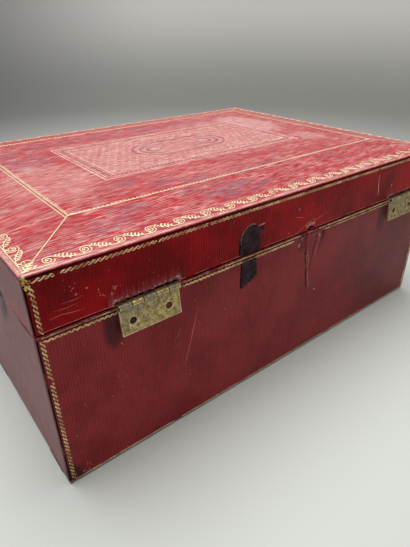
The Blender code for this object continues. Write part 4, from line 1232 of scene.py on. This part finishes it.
gild_walls("lid_rope_roll", old_gilt, "lid", lid_ropes, 0.18)
gild_walls("base_rope_roll", old_gilt, "base", base_ropes, 0.1)
dull = line_at(HEIGHT - 0.9, 3, LONG / 3, 0.9)
gild_walls("base_worn_fillet", thin_gilt, "base", dull, 0.1)
fillet = line_at(HEIGHT - 1.0, LONG / 3, TEAR_FROM, 0.6) + line_at(HEIGHT - 0.8, TEAR_TO, LONG - 3, 0.9)
gild_walls("base_fillet", old_gilt, "base", fillet, -0.1)
waves = ripple(3.4, TEAR_FROM - 6, HEIGHT - 3.0)
waves += ripple(TEAR_TO + 4, LONG - 4, HEIGHT - 2.7, 0.3, width=0.6)
gild_walls("base_parting_roll", old_gilt, "base", waves, 0.1)
gild_walls("base_foot_line", old_gilt, "base", line_at(1.0, 4, LONG - 4, 0.75), 0.02)
# A thin pale line along the lid's foot: a painted highlight on its rounded lower edge.
gild_walls("lid_lip_highlight", scratch_and_highlight, "lid", line_at(1.4, 4, LONG - 4, 0.3), 0.35)

# %% [markdown]
# Dark strokes, broken here and there, lie in the groove under the lid's rim, on both lips of the parting
# and beside the wall corners. In the groove they are painted shadow under the proud rim; at the lid's
# foot, painted shadow of the parting gap with dirt; under the base's rim, a dark line; and beside the
# corners, two centuries of dirt, settled where a cloth never reaches.

# %% Painted shadow and dirt in the grooves
# Painted shadow under the proud rim.
gild_walls("lid_rim_shadow", black_shade_and_dirt, "lid", line_at(EDGE - 1.5, 2, LONG - 2, 0.6), 0.04)
# Painted shadow of the parting gap, and dirt.
gild_walls("lid_foot_shadow_and_dirt", black_shade_and_dirt, "lid", line_at(0.55, 1.5, LONG - 1.5, 0.75), -0.1)
gild_walls("base_rim_dark_line", black_shade_and_dirt, "base", line_at(HEIGHT - 1.75, 3, LONG - 3, 0.4), 0.1)
for body, height in (("lid", EDGE), ("base", HEIGHT)):
    edges = [([(along, level) for _, level in ruled((0, 0.5), (0, height - 1.5))], 0.6)
             for along in (0.75, LONG - 0.75)]
    gild_walls(f"{body}_corner_dirt", black_shade_and_dirt, body, edges, 0.12)

# %% [markdown]
# The gold that was pressed over the lid's corner has stayed as one bright blotch, because a corner
# takes more leaf and less rubbing than a face. A few thick strokes, run together, give its outline.

# %% Gold left at the corner
def blotch(centre, spread_by, count, seed, size):
    """Short strokes crowded round a place, which together make one ragged patch."""
    chance = random.Random(seed)
    marks = []
    for number in range(count):
        here = [middle + chance.gauss(0, wide) for middle, wide in zip(centre, spread_by)]
        here[0] = max(0.35, here[0])
        away = (max(0.35, here[0] + chance.uniform(-0.5, 0.5)), here[1] - chance.uniform(0.2, 1.1))
        marks.append(([(*here, 0.8), ((here[0] + away[0]) / 2, (here[1] + away[1]) / 2, 1.2), (*away, 0.5)],
                      size * chance.uniform(0.5, 1.2)))
    return marks


corner_gold = blotch((1.3, EDGE - 1.8), (0.8, 0.9), 46, 31, 0.75)
corner_gold += blotch((1.7, EDGE - 4.8), (0.6, 2.0), 24, 32, 0.5)
gild("lid_corner_gold", corner_gilt, "lid", [(lid_walls[0], corner_gold)], 0.0, 0.07 * MM)
foot_gold = blotch((3.4, 1.7), (1.4, 0.6), 16, 33, 0.6) + blotch((0.9, 1.2), (0.3, 0.5), 5, 34, 0.5)
gild("base_corner_gold", thin_gilt, "base", [(base_walls[0], foot_gold)], 0.0, 0.07 * MM)
chafed = blotch((8.5, 3.4), (2.4, 1.0), 14, 35, 0.45) + blotch((12.0, 7.0), (0.8, 0.9), 6, 36, 0.45)
gild("base_corner_chafe", scratch_and_highlight, "base", [(base_walls[0], chafed)])

# %% [markdown]
# Something once stuck over the parting, between the hinges, and took the face of the leather with
# it: a round-topped scar on the lid and a swallow-tailed one on the base. Each is a thin, ragged
# sheet laid on the leather: a grid, thinned to the scar's outline by deleting what lies outside.

# %% The two bare scars
def lay_patch(name, material, body, run, start, end, is_in, thickness=0.12 * MM, cell=0.5):
    """A ragged sheet on the leather, from start to end on the run in mm, where is_in says yes."""
    surface = lid_surface if body == "lid" else base_surface
    shape = bmesh.new()
    width, height = end[0] - start[0], end[1] - start[1]
    middle = Matrix.Translation(((start[0] + end[0]) / 2, (start[1] + end[1]) / 2, 0))
    bmesh.ops.create_grid(shape, x_segments=int(width / cell), y_segments=int(height / cell), size=0.5,
                          matrix=middle @ Matrix.Diagonal((width, height, 1, 1)))
    outside = [face for face in shape.faces if not is_in(*face.calc_center_median().xy)]
    bmesh.ops.delete(shape, geom=outside, context="FACES")
    lost = []
    for vert in shape.verts:
        spot = find_surface(surface, run, vert.co.x * MM, vert.co.y * MM)
        if spot is None:
            lost.append(vert)
        else:
            vert.co = spot + run["out"] * (thickness + 0.03 * MM * noise.noise(spot * 900))
    bmesh.ops.delete(shape, geom=lost, context="VERTS")
    smooth_faces(shape)
    made = make_piece(name, shape, material, body)
    add_wall(made, thickness * 0.9)
    return made


SCAR = (HALF_LENGTH / MM - 35.2)


def ragged(along, inward, size=0.5):
    return size * noise.noise(Vector((along * 0.7, inward * 0.7, 3.0)))


def in_lid_scar(along, inward):
    """Round on top, with a small collar that juts out to the right."""
    x = along - SCAR + ragged(along, inward)
    reach = 7.3 if inward < 12 else 7.3 - (inward - 12) * 0.28
    dome = inward < 18.2 - (x / 6.2) ** 2 * 3.0 + ragged(inward, along)
    collar = 5 < x < 10.2 and 12.6 < inward < 15.6 - 0.2 * (x - 5)
    return (-8.0 < x < reach and dome) or collar


def in_base_scar(along, inward):
    """Straight on the left, with its longest tip there, and slanting on the right."""
    down = HEIGHT - inward
    x = along - SCAR + ragged(along, inward)
    foot = 21.0 - 0.4 * (x + 6.4) + 0.5 * math.sin(x * 2.2)
    return -6.4 < x < 4.6 + 0.10 * down and down < foot


lay_patch("lid_scar", bare_hide, "lid", lid_walls[0], (SCAR - 11, 0.9), (SCAR + 12, 20), in_lid_scar)
lay_patch("base_scar", bare_hide, "base", base_walls[0], (SCAR - 9, HEIGHT - 25),
          (SCAR + 10, HEIGHT - 1.6), in_base_scar)
# The pale rim round the lid's scar: torn leather, with a painted highlight where its edge is lifted.
round_top = ((-7.6, 8), (-7.4, 13), (-5.4, 15.8), (-2.6, 17.8), (0.4, 18.6), (3.0, 17.7))
scar_rims = [([(SCAR + x, height) for x, height in round_top], 0.35),
             ([(SCAR + 5.2, 16.0, 0.6), (SCAR + 7.6, 16.2, 1.3), (SCAR + 10.2, 16.4, 1.6)], 0.5)]
gild("lid_scar_rim_and_highlight", raw_fibre, "lid", [(lid_walls[0], scar_rims)], 0.1, 0.14 * MM)
# A black stroke down the left side of each scar: a painted shadow of its edge.
scar_shadow_strokes = [([(SCAR - 8.4, 2.0), (SCAR - 8.3, 6.0), (SCAR - 8.0, 10.5)], 0.9)]
gild("lid_scar_shadow", black_shade_and_dirt, "lid", [(lid_walls[0], scar_shadow_strokes)], 0.0, 0.1 * MM)
scar_left_shadow = [(SCAR - 6.7, HEIGHT - 4), (SCAR - 6.8, HEIGHT - 12), (SCAR - 6.9, HEIGHT - 20)]
gild("base_scar_shadow", black_shade_and_dirt, "base", [(base_walls[0], [(scar_left_shadow, 0.6)])], 0.0, 0.1 * MM)

# %% [markdown]
# Scratches, nicks and lifted fibres make the leather look handled. They use the same strokes as
# the gilding, only thinner and in the pale colours of torn skin.

# %% Scratches, nicks and fibres
def gild_back(name, material, body, marks, loss=0.0, proud=PROUD):
    """Lays marks on the back wall; their points are in the object's own X and Z, in millimetres."""
    run, foot = (lid_walls[0], LID_FOOT) if body == "lid" else (base_walls[0], FOOT)
    strokes = [([(HALF_LENGTH / MM - x, z - foot / MM, *rest) for x, z, *rest in points], width)
               for points, width in marks]
    return gild(name, material, body, [(run, strokes)], loss, proud)


base_marks = [(((73.4, 77.1, 0.3), (75.0, 70.0), (77.1, 63.1, 1.3), (80.6, 50.0), (83.5, 40.3, 0.3)), 0.45),
              (((85.2, 68.3, 0.4), (86.6, 65.4, 1.2), (88.1, 62.9, 0.4)), 0.4),
              (((121.3, 76.4, 0.4), (120.5, 75.4, 1.4), (119.7, 74.2, 0.4)), 0.5)]
nicks = [(((-8.0, 91.0, 0.3), (-7.4, 89.4, 1.2), (-6.8, 88.2, 0.8)), 0.9),
         (((-10.1, 94.5, 0.4), (-9.6, 93.4, 1.0), (-9.3, 92.6, 0.4)), 0.8),
         (((-28.3, 50.0, 0.3), (-29.0, 49.0, 1.2), (-29.8, 47.8, 0.6)), 0.8)]
lid_marks = [(((-86.6, 119.5, 0.6), (-87.2, 113.0, 0.9), (-88.8, 107.4, 1.2), (-89.0, 104.0, 0.6)), 0.8),
             (((-105.2, 109.4, 0.5), (-105.4, 108.0), (-105.6, 106.7, 0.5)), 0.8),
             (((-3.8, 115.4, 0.4), (-4.3, 114.7), (-4.8, 114.0, 0.3)), 0.7)]
chance = random.Random(5)
near_marks = []
for x, z, size, count in ((139.0, 111.5, 0.9, 6), (133.4, 112.6, 0.7, 5), (120.8, 107.8, 1.3, 10),
                          (121.6, 105.4, 1.2, 6), (140.0, 115.5, 2.6, 5), (127.0, 108.0, 2.6, 5)):
    for number in range(count):
        here = (x + chance.gauss(0, size * 0.5), z + chance.gauss(0, size * 0.4))
        away = (here[0] + chance.uniform(-0.7, 0.7), here[1] + chance.uniform(-0.5, 0.5))
        near_marks.append((((*here, 1.2), (*away, 0.4)), chance.uniform(0.35, 1.0)))
lid_lines = [(((152.0, 103.6, 0.4), (147.0, 104.2), (143.0, 103.5, 1.2), (136.0, 102.8, 0.3)), 0.3),
             (((146.0, 109.3, 0.3), (140.0, 109.0), (136.0, 109.8, 0.3)), 0.3),
             (((150.0, 106.9, 0.3), (144.0, 106.4), (139.0, 106.9, 0.3)), 0.22),
             (((-9.5, 108.0, 0.3), (-5.0, 109.2), (-1.5, 110.2, 0.3)), 0.5)]
gild_back("base_scratches", scratch_and_highlight, "base", base_marks)
gild_back("base_nicks", pale_nick, "base", nicks)
gild_back("lid_nicks", pale_nick, "lid", lid_marks)
gild_back("lid_scratches", scratch_and_highlight, "lid", lid_lines + near_marks)

# Black strokes in the open crack: painted shade, with dirt.
crack_dark = [(((-14.4, 84.0, 0.4), (-14.9, 80.5, 1.3), (-15.6, 77.0, 0.7), (-16.4, 73.5, 1.4),
                (-17.0, 70.0, 0.6)), 0.8),
              (((-17.1, 69.0, 0.6), (-17.3, 66.0, 1.2), (-17.6, 62.5, 0.5), (-18.2, 58.5, 0.8),
                (-18.6, 55.0, 0.2)), 0.7),
              (((-31.8, 95.5, 0.5), (-31.0, 92.0, 1.2), (-30.0, 89.0, 0.3)), 0.6)]
gild_back("base_tear_crack", black_shade_and_dirt, "base", crack_dark, 0.0, 0.08 * MM)


def tufts(middle_line, count, spread_by, length, seed):
    """Short torn fibres scattered along a line of places in X and Z, in millimetres."""
    chance = random.Random(seed)
    marks = []
    for number in range(count):
        share = chance.random() * (len(middle_line) - 1)
        (x, z), (to_x, to_z) = middle_line[int(share)], middle_line[int(share) + 1]
        x += (to_x - x) * (share % 1) + chance.gauss(0, spread_by)
        z += (to_z - z) * (share % 1) + chance.gauss(0, spread_by)
        turn = chance.uniform(0, math.tau)
        tip = (x + length * math.cos(turn) * chance.uniform(0.5, 1),
               z + length * math.sin(turn) * chance.uniform(0.5, 1))
        marks.append((((x, z, 1.2), ((x + tip[0]) / 2, (z + tip[1]) / 2 + 0.15), (*tip, 0.3)),
                      chance.uniform(0.25, 0.5)))
    return marks


lip_fibres = tufts(((-16.2, 80.0), (-17.2, 76.0), (-18.0, 70.0)), 16, 0.25, 1.0, 3)
lip_fibres += tufts(((-25.0, 95.0), (-27.5, 90.0)), 8, 0.3, 1.2, 9)
gild_back("base_tear_fibres", raw_fibre, "base", lip_fibres, 0.0, 0.1 * MM)
# A black stroke under the lifted knot: painted shade in the hollow.
hollow = [(((-14.0, 98.6, 0.6), (-16.5, 99.6, 1.3), (-20.0, 99.2, 0.6)), 1.4)]
gild_back("lid_tear_hollow", black_shade_and_dirt, "lid", hollow, 0.0, 0.08 * MM)
knot = tufts(((-13.2, 100.8), (-16.5, 102.8), (-20.4, 101.4)), 56, 0.6, 1.6, 11)
gild_back("lid_tear_fibres", raw_fibre, "lid", knot, 0.0, 0.12 * MM)
ridges = [(((-2.0, 99.0, 0.3), (-7.0, 100.0, 1.0), (-13.0, 103.0, 1.2), (-17.0, 104.6, 0.6)), 0.4),
          (((-19.0, 103.0, 0.8), (-25.0, 104.6, 1.0), (-31.0, 106.4, 0.3)), 0.4)]
gild_back("lid_tear_ridges", scratch_and_highlight, "lid", ridges, 0.0, 0.1 * MM)


def hinge_fibres(hinge):
    """Short torn fibres: thick at the ends of a hinge's notch, sparse along its top."""
    low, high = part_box(f"{hinge}_upper_leaf")
    left, right, top = high.x / MM, low.x / MM, high.z / MM + 1.4
    marks = tufts(((right + 5.0, top + 1.0), (right - 0.8, top + 1.2), (right - 1.8, top - 0.6)),
                  40, 0.4, 1.0, 21)
    marks += tufts(((left + 1.8, top - 1.6), (left + 0.9, top + 0.7), (left - 3.0, top + 0.9)),
                   20, 0.3, 1.0, 22)
    return marks + tufts(((left - 3.0, top + 0.7), (right + 5.0, top + 0.7)), 22, 0.2, 0.8, 23)


fibres = hinge_fibres("hinge_right") + hinge_fibres("hinge_left")
gild_back("hinge_fibres", raw_fibre, "lid", fibres, 0.0, 0.12 * MM)


def make_recess(hinge):
    """The black strip of board between the hinge and the torn leather: painted shade in the recess."""
    low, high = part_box(f"{hinge}_upper_leaf")
    shape = bmesh.new()
    size = Vector((high.x - low.x + 1.1 * MM, 0.7 * MM, 1.9 * MM))
    middle = Vector(((low.x + high.x) / 2, HALF_DEPTH - 0.42 * MM, high.z + 1.05 * MM))
    bmesh.ops.create_cube(shape, size=1, matrix=Matrix.Translation(middle) @ Matrix.Diagonal((*size, 1)))
    rule_cuts(shape, 0, steps(low.x, high.x, MM))
    for vert in shape.verts:
        vert.co.y += 0.05 * MM * noise.noise(vert.co * 500)
    return make_piece(f"{hinge}_recess", shape, black_shade_and_dirt, "lid")


for hinge in HINGES:
    make_recess(hinge)

# %% [markdown]
# The metal fittings keep the shape that the CAD gave them, so each starts as a copy of its node.
# The copy is merged, cut into finer cells where it needs a worn edge or a slight bend, and given
# tiny bevels, because no real edge is perfectly sharp.

# %% Dressing the metal parts
def copy_node(name, *cuts):
    """A merged copy of a CAD node's mesh, cut on a grid if sizes are given for x, y and z."""
    shape = bmesh.new()
    shape.from_mesh(frame["nodes"][name].data)
    bmesh.ops.remove_doubles(shape, verts=shape.verts[:], dist=1e-6)
    bmesh.ops.dissolve_limit(shape, angle_limit=math.radians(1), verts=shape.verts[:], edges=shape.edges[:])
    low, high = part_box(name)
    for axis, size in enumerate(cuts):
        if size:
            rule_cuts(shape, axis, steps(low[axis], high[axis], size))
    return shape


def rub_near(shape, spots, reach, edges=()):
    """Marks the points that lie near a spot's ring or near the given box's outline."""
    rub_and_highlight, film_and_shade = (shape.verts.layers.float.new(label) for label in ("rub_and_highlight", "film_and_shade"))
    for vert in shape.verts:
        worn = 0.0
        for spot, radius in spots:
            worn = max(worn, 1 - abs((vert.co - spot).length - radius) / reach)
        if edges:
            low, high = edges
            across = (vert.co.x - low.x) / (high.x - low.x)
            rise = (vert.co.z - low.z) / (high.z - low.z)
            cloud = 0.5 * noise.noise(vert.co * 230)
            vert[film_and_shade] = max(0.0, min(1.0, 2.4 * (rise + 0.45 * across - 0.66) + cloud))
            gap = min(vert.co.x - low.x, high.x - vert.co.x, vert.co.z - low.z)
            worn = max(worn, 1 - gap / reach)
        vert[rub_and_highlight] = max(0.0, min(1.0, worn))


def add_bevel(piece, width):
    edge = piece.modifiers.new("worn edges", "BEVEL")
    edge.width = width
    edge.segments = 2
    edge.limit_method = "ANGLE"
    edge.angle_limit = math.radians(30)


LEAF_SPRUNG = 1.7 * MM
UNDER_BARREL = 3.6 * MM


def stand_off(height, low, high):
    """How far a lower leaf has sprung from the wall: nothing under its barrel, all of it at its foot."""
    down = (high.z - UNDER_BARREL - height) / (high.z - UNDER_BARREL - low.z)
    return LEAF_SPRUNG * max(0.0, down) ** 1.2


def dress_lower_leaf(hinge):
    name = f"{hinge}_lower_leaf"
    shape = copy_node(name, 1.0 * MM, 0, 1.0 * MM)
    low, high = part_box(name)
    heads = []
    for number in (1, 2):
        nail_low, nail_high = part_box(f"{hinge}_nail_{number}")
        middle = (nail_low + nail_high) / 2
        heads.append((Vector((middle.x, nail_high.y, middle.z)), 2.2 * MM))
    rub_near(shape, heads, 1.2 * MM, (low, high))
    for vert in shape.verts:
        vert.co.y += stand_off(vert.co.z, low, high)
    smooth_faces(shape, 30)
    made = make_piece(f"{name}_aged", shape, aged_brass, "base", [name])
    add_bevel(made, 0.15 * MM)
    return made


def dress_simple(name, body, material, width=0.12 * MM, leaf_node=None):
    """A bevelled copy; one that holds a sprung leaf is moved out with it."""
    shape = copy_node(name)
    rub_near(shape, (), 1.0)
    if leaf_node:
        head = max(vert.co.y for vert in shape.verts)
        middle = sum(vert.co.z for vert in shape.verts) / len(shape.verts)
        shift = stand_off(middle, *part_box(leaf_node))
        for vert in shape.verts:
            if vert.co.y > head - 3 * MM:
                vert.co.y += shift
    made = make_piece(f"{name}_worn", shape, material, body, [name])
    add_bevel(made, width)
    return made


def dress_upper_leaf(hinge):
    """The lid's leaf, with painted shade under its knuckles and along its top, and a painted highlight
    on a narrow band of its front.
    """
    name = f"{hinge}_upper_leaf"
    shape = copy_node(name, 0, 0, 0.4 * MM)
    low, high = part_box(name)
    rub_near(shape, (), 1.0)
    rub_and_highlight, film_and_shade = (shape.verts.layers.float[label] for label in ("rub_and_highlight", "film_and_shade"))
    for vert in shape.verts:
        rise = (vert.co.z - low.z) / MM
        front = vert.co.y > high.y - 2 * MM
        # Painted shade under the knuckles and on all but their front.
        vert[film_and_shade] = 1.0 if rise < 1.5 or not front else 0.0
        # A painted highlight on a narrow band of the knuckles' front.
        vert[rub_and_highlight] = 1.0 if front and 1.5 <= rise < 2.0 else 0.0
    smooth_faces(shape, 30)
    made = make_piece(f"{name}_aged", shape, knuckle_brass_painted_shade, "lid", [name])
    add_bevel(made, 0.12 * MM)
    return made


for hinge in HINGES:
    dress_lower_leaf(hinge)
    dress_upper_leaf(hinge)
    dress_simple(f"{hinge}_pin", "base", dark_iron, 0.08 * MM)
    for number in (1, 2):
        nail = dark_iron if number == 2 else rusty_iron
        dress_simple(f"{hinge}_nail_{number}", "base", nail, 0.1 * MM,
                     leaf_node=f"{hinge}_lower_leaf")
        dress_simple(f"{hinge}_screw_{number}", "lid", dark_iron, 0.1 * MM)

# %% [markdown]
# The lock is let into the front wall. Only its top plate, the two hooks of the striker and the
# escutcheon show, but the case, the bolt and the spring are there too, and the bolt rides on its own
# body.

# %% The lock and its plates
for name in ("lock_escutcheon", "lock_plate", "lock_case", "escutcheon_pin_1", "escutcheon_pin_2"):
    dress_simple(name, "base", kept_brass)
dress_simple("lock_striker", "lid", kept_brass)
for name in ("lock_drill_pin", "lock_spring", "lock_screw_1", "lock_screw_2", "lock_screw_3",
             "lock_screw_4"):
    dress_simple(name, "base", dark_iron, 0.08 * MM)
dress_simple("lock_bolt", "bolt", dark_iron)
for name in ("striker_screw_1", "striker_screw_2"):
    dress_simple(name, "lid", dark_iron, 0.08 * MM)

# %% [markdown]
# The lining is cloth glued to the boards. It bellies a little between the corners and is not quite
# flat. Each tray is a cube without one face, cut into cells, with soft corners, and thickened last.

# %% Cloth linings and the cloth under the base
def cloth_uv(shape):
    hide = shape.loops.layers.uv.new("hide")
    for face in shape.faces:
        out = [abs(part) for part in face.normal]
        side = out.index(max(out))
        for loop in face.loops:
            x, y, z = loop.vert.co
            loop[hide].uv = ((y, z), (x, z), (x, y))[side]


def make_lining(name, body, way):
    """A tray of cloth, open above if way is 1 and below if it is -1."""
    low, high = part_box(name)
    shape = bmesh.new()
    middle = (low + high) / 2
    bmesh.ops.create_cube(shape, size=1,
                          matrix=Matrix.Translation(middle) @ Matrix.Diagonal((*(high - low), 1)))
    mouth = max(shape.faces, key=lambda face: way * face.calc_center_median().z)
    bmesh.ops.delete(shape, geom=[mouth], context="FACES_ONLY")
    inner = [edge for edge in shape.edges if edge.is_manifold]
    soften(shape, inner, 1.2 * MM, 3)
    for axis in (0, 1, 2):
        rule_cuts(shape, axis, steps(low[axis], high[axis], 6 * MM))
    shape.normal_update()
    if name == "base_lining":
        plate_low, plate_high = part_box("lock_plate")
        gap = 0.8 * MM
        open_skin(shape, (plate_low.x - gap, plate_high.x + gap), (-1.0, low.y + 2 * MM),
                  (plate_low.z - gap, 1.0))
    for vert in shape.verts:
        sag = 0.25 * MM * (0.6 + noise.noise(vert.co * 30))
        vert.co -= vert.normal * max(0.0, sag)
    cloth_uv(shape)
    smooth_faces(shape, 50)
    made = make_piece(f"{name}_cloth", shape, lining_cloth, body, [name])
    add_wall(made, 0.5 * MM)
    return made


make_lining("base_lining", "base", 1)
make_lining("lid_lining", "lid", -1)


def make_bottom_cover():
    low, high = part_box("base_bottom_cover")
    shape = bmesh.new()
    bmesh.ops.create_cube(shape, size=1, matrix=Matrix.Translation((low + high) / 2)
                          @ Matrix.Diagonal((*(high - low), 1)))
    upright = [edge for edge in shape.edges if abs(edge.verts[0].co.z - edge.verts[1].co.z) > 0.1 * MM]
    soften(shape, upright, 3 * MM, 3)
    for axis in (0, 1):
        rule_cuts(shape, axis, steps(low[axis], high[axis], 8 * MM))
    for vert in shape.verts:
        vert.co.z -= 0.1 * MM * max(0.0, noise.noise(vert.co * 40)) * (vert.co.z > 0.3 * MM)
    cloth_uv(shape)
    smooth_faces(shape, 50)
    made = make_piece("bottom_cloth_cover", shape, bottom_cloth, "base",
                      ["base_bottom_cover"])
    return made


make_bottom_cover()

# %% [markdown]
# The boards keep their CAD shape, which is right as it is, and only get their wood.

# %% Boards
for name, node in frame["nodes"].items():
    if name.endswith("_board"):
        node.data.materials.clear()
        node.data.materials.append(pine)
print("boards:", sum(name.endswith("_board") for name in frame["nodes"]))

# %% [markdown]
# The studio is a wide, shallow bowl, so that any camera round the box sees the same pale floor
# run up into a soft grey wall with no corner. Its colour paints the light: paler in the middle, darker
# towards the rim and towards the camera's left, and paler again up the wall.

# %% Floor and backdrop
def make_bowl():
    """A disc with a rim that curves up, spun from a profile."""
    shape = bmesh.new()
    reach, curve, wall_top = 1.0, 0.45, 0.75
    profile = [(share * reach, 0.0) for share in (0.0, 0.15, 0.3, 0.5, 0.75, 1.0)]
    for number in range(1, 9):
        angle = math.pi / 2 * number / 8
        profile.append((reach + curve * math.sin(angle), curve * (1 - math.cos(angle))))
    profile.append((reach + curve, wall_top))
    points = [bmesh.ops.create_vert(shape, co=(x, 0, z - 0.2 * MM))["vert"][0] for x, z in profile]
    line = [shape.edges.new(pair) for pair in zip(points, points[1:])]
    bmesh.ops.spin(shape, geom=points + line, cent=(0, 0, 0), axis=(0, 0, 1), angle=math.tau, steps=96,
                   use_merge=True, dvec=(0, 0, 0))
    bmesh.ops.remove_doubles(shape, verts=shape.verts[:], dist=1e-5)
    bmesh.ops.recalc_face_normals(shape, faces=shape.faces[:])
    if shape.faces[0].normal.z < 0:
        bmesh.ops.reverse_faces(shape, faces=shape.faces[:])
    for face in shape.faces:
        face.smooth = True
    mesh = bpy.data.meshes.new("studio_bowl")
    shape.to_mesh(mesh)
    shape.free()
    bowl = bpy.data.objects.new("studio_bowl", mesh)
    bpy.context.scene.collection.objects.link(bowl)
    return bowl


def make_bowl_finish():
    material, tree, shader, place = start_finish("studio_paper", specular=0.2)
    flat = add_node(tree, "ShaderNodeVectorMath", {0: place, 1: (1.0, 1.0, 0.0)}, operation="MULTIPLY")
    reach = add_node(tree, "ShaderNodeVectorMath", {0: flat.outputs[0]},
                     operation="LENGTH").outputs["Value"]
    # Painted light on the floor: pale in the middle, darker towards the rim.
    colour = tinted(tree, ramped(tree, reach, 0.1, 1.05), shade(198, 201, 196), shade(136, 136, 132))
    height = add_node(tree, "ShaderNodeSeparateXYZ", {"Vector": place}).outputs[2]
    # Painted light up the wall: paler with height.
    colour = tinted(tree, ramped(tree, height, 0.0, 0.3), colour, shade(208, 206, 202))
    # Painted shade towards the camera's left.
    side = add_node(tree, "ShaderNodeVectorMath", {0: place, 1: TO_THE_RIGHT}, operation="DOT_PRODUCT")
    colour = tinted(tree, ramped(tree, side.outputs["Value"], -0.1, -0.9, 0.0, 0.85), colour,
                    shade(84, 84, 82))
    fine = add_node(tree, "ShaderNodeTexNoise", {"Vector": place, "Scale": 300.0, "Detail": 3.0}).outputs[0]
    feed(tree, shader, colour, ramped(tree, fine, 0.0, 1.0, 0.7, 0.9), fine, 0.0002, 0.1)
    return material


bowl = make_bowl()
bowl.data.materials.append(make_bowl_finish())
print("bowl:", len(bowl.data.polygons), "faces")

# %% [markdown]
# A broad lamp above and behind the box lights its top, as a window would. A weaker one in front of
# the hinges, and the air itself, keep the near walls readable.

# %% Lamps and world
def add_lamp(name, place, aim, size, power):
    data = bpy.data.lights.new(name, "AREA")
    data.shape = "DISK"
    data.size = size
    data.energy = power
    lamp = bpy.data.objects.new(name, data)
    bpy.context.scene.collection.objects.link(lamp)
    turn = (Vector(aim) - Vector(place)).to_track_quat("-Z", "Y").to_matrix().to_4x4()
    lamp.matrix_world = Matrix.Translation(place) @ turn
    return lamp


add_lamp("window", (0.1, -0.2, 1.35), (0.02, 0, 0.05), 1.3, 25)
add_lamp("room", (0.9, 1.0, 1.1), (0, 0, 0.05), 1.4, 3.5)
world = bpy.data.worlds.new("studio_air")
bpy.context.scene.world = world
world.use_nodes = True
world.node_tree.nodes["Background"].inputs["Color"].default_value = (0.86, 0.87, 0.88, 1.0)
world.node_tree.nodes["Background"].inputs["Strength"].default_value = 0.28
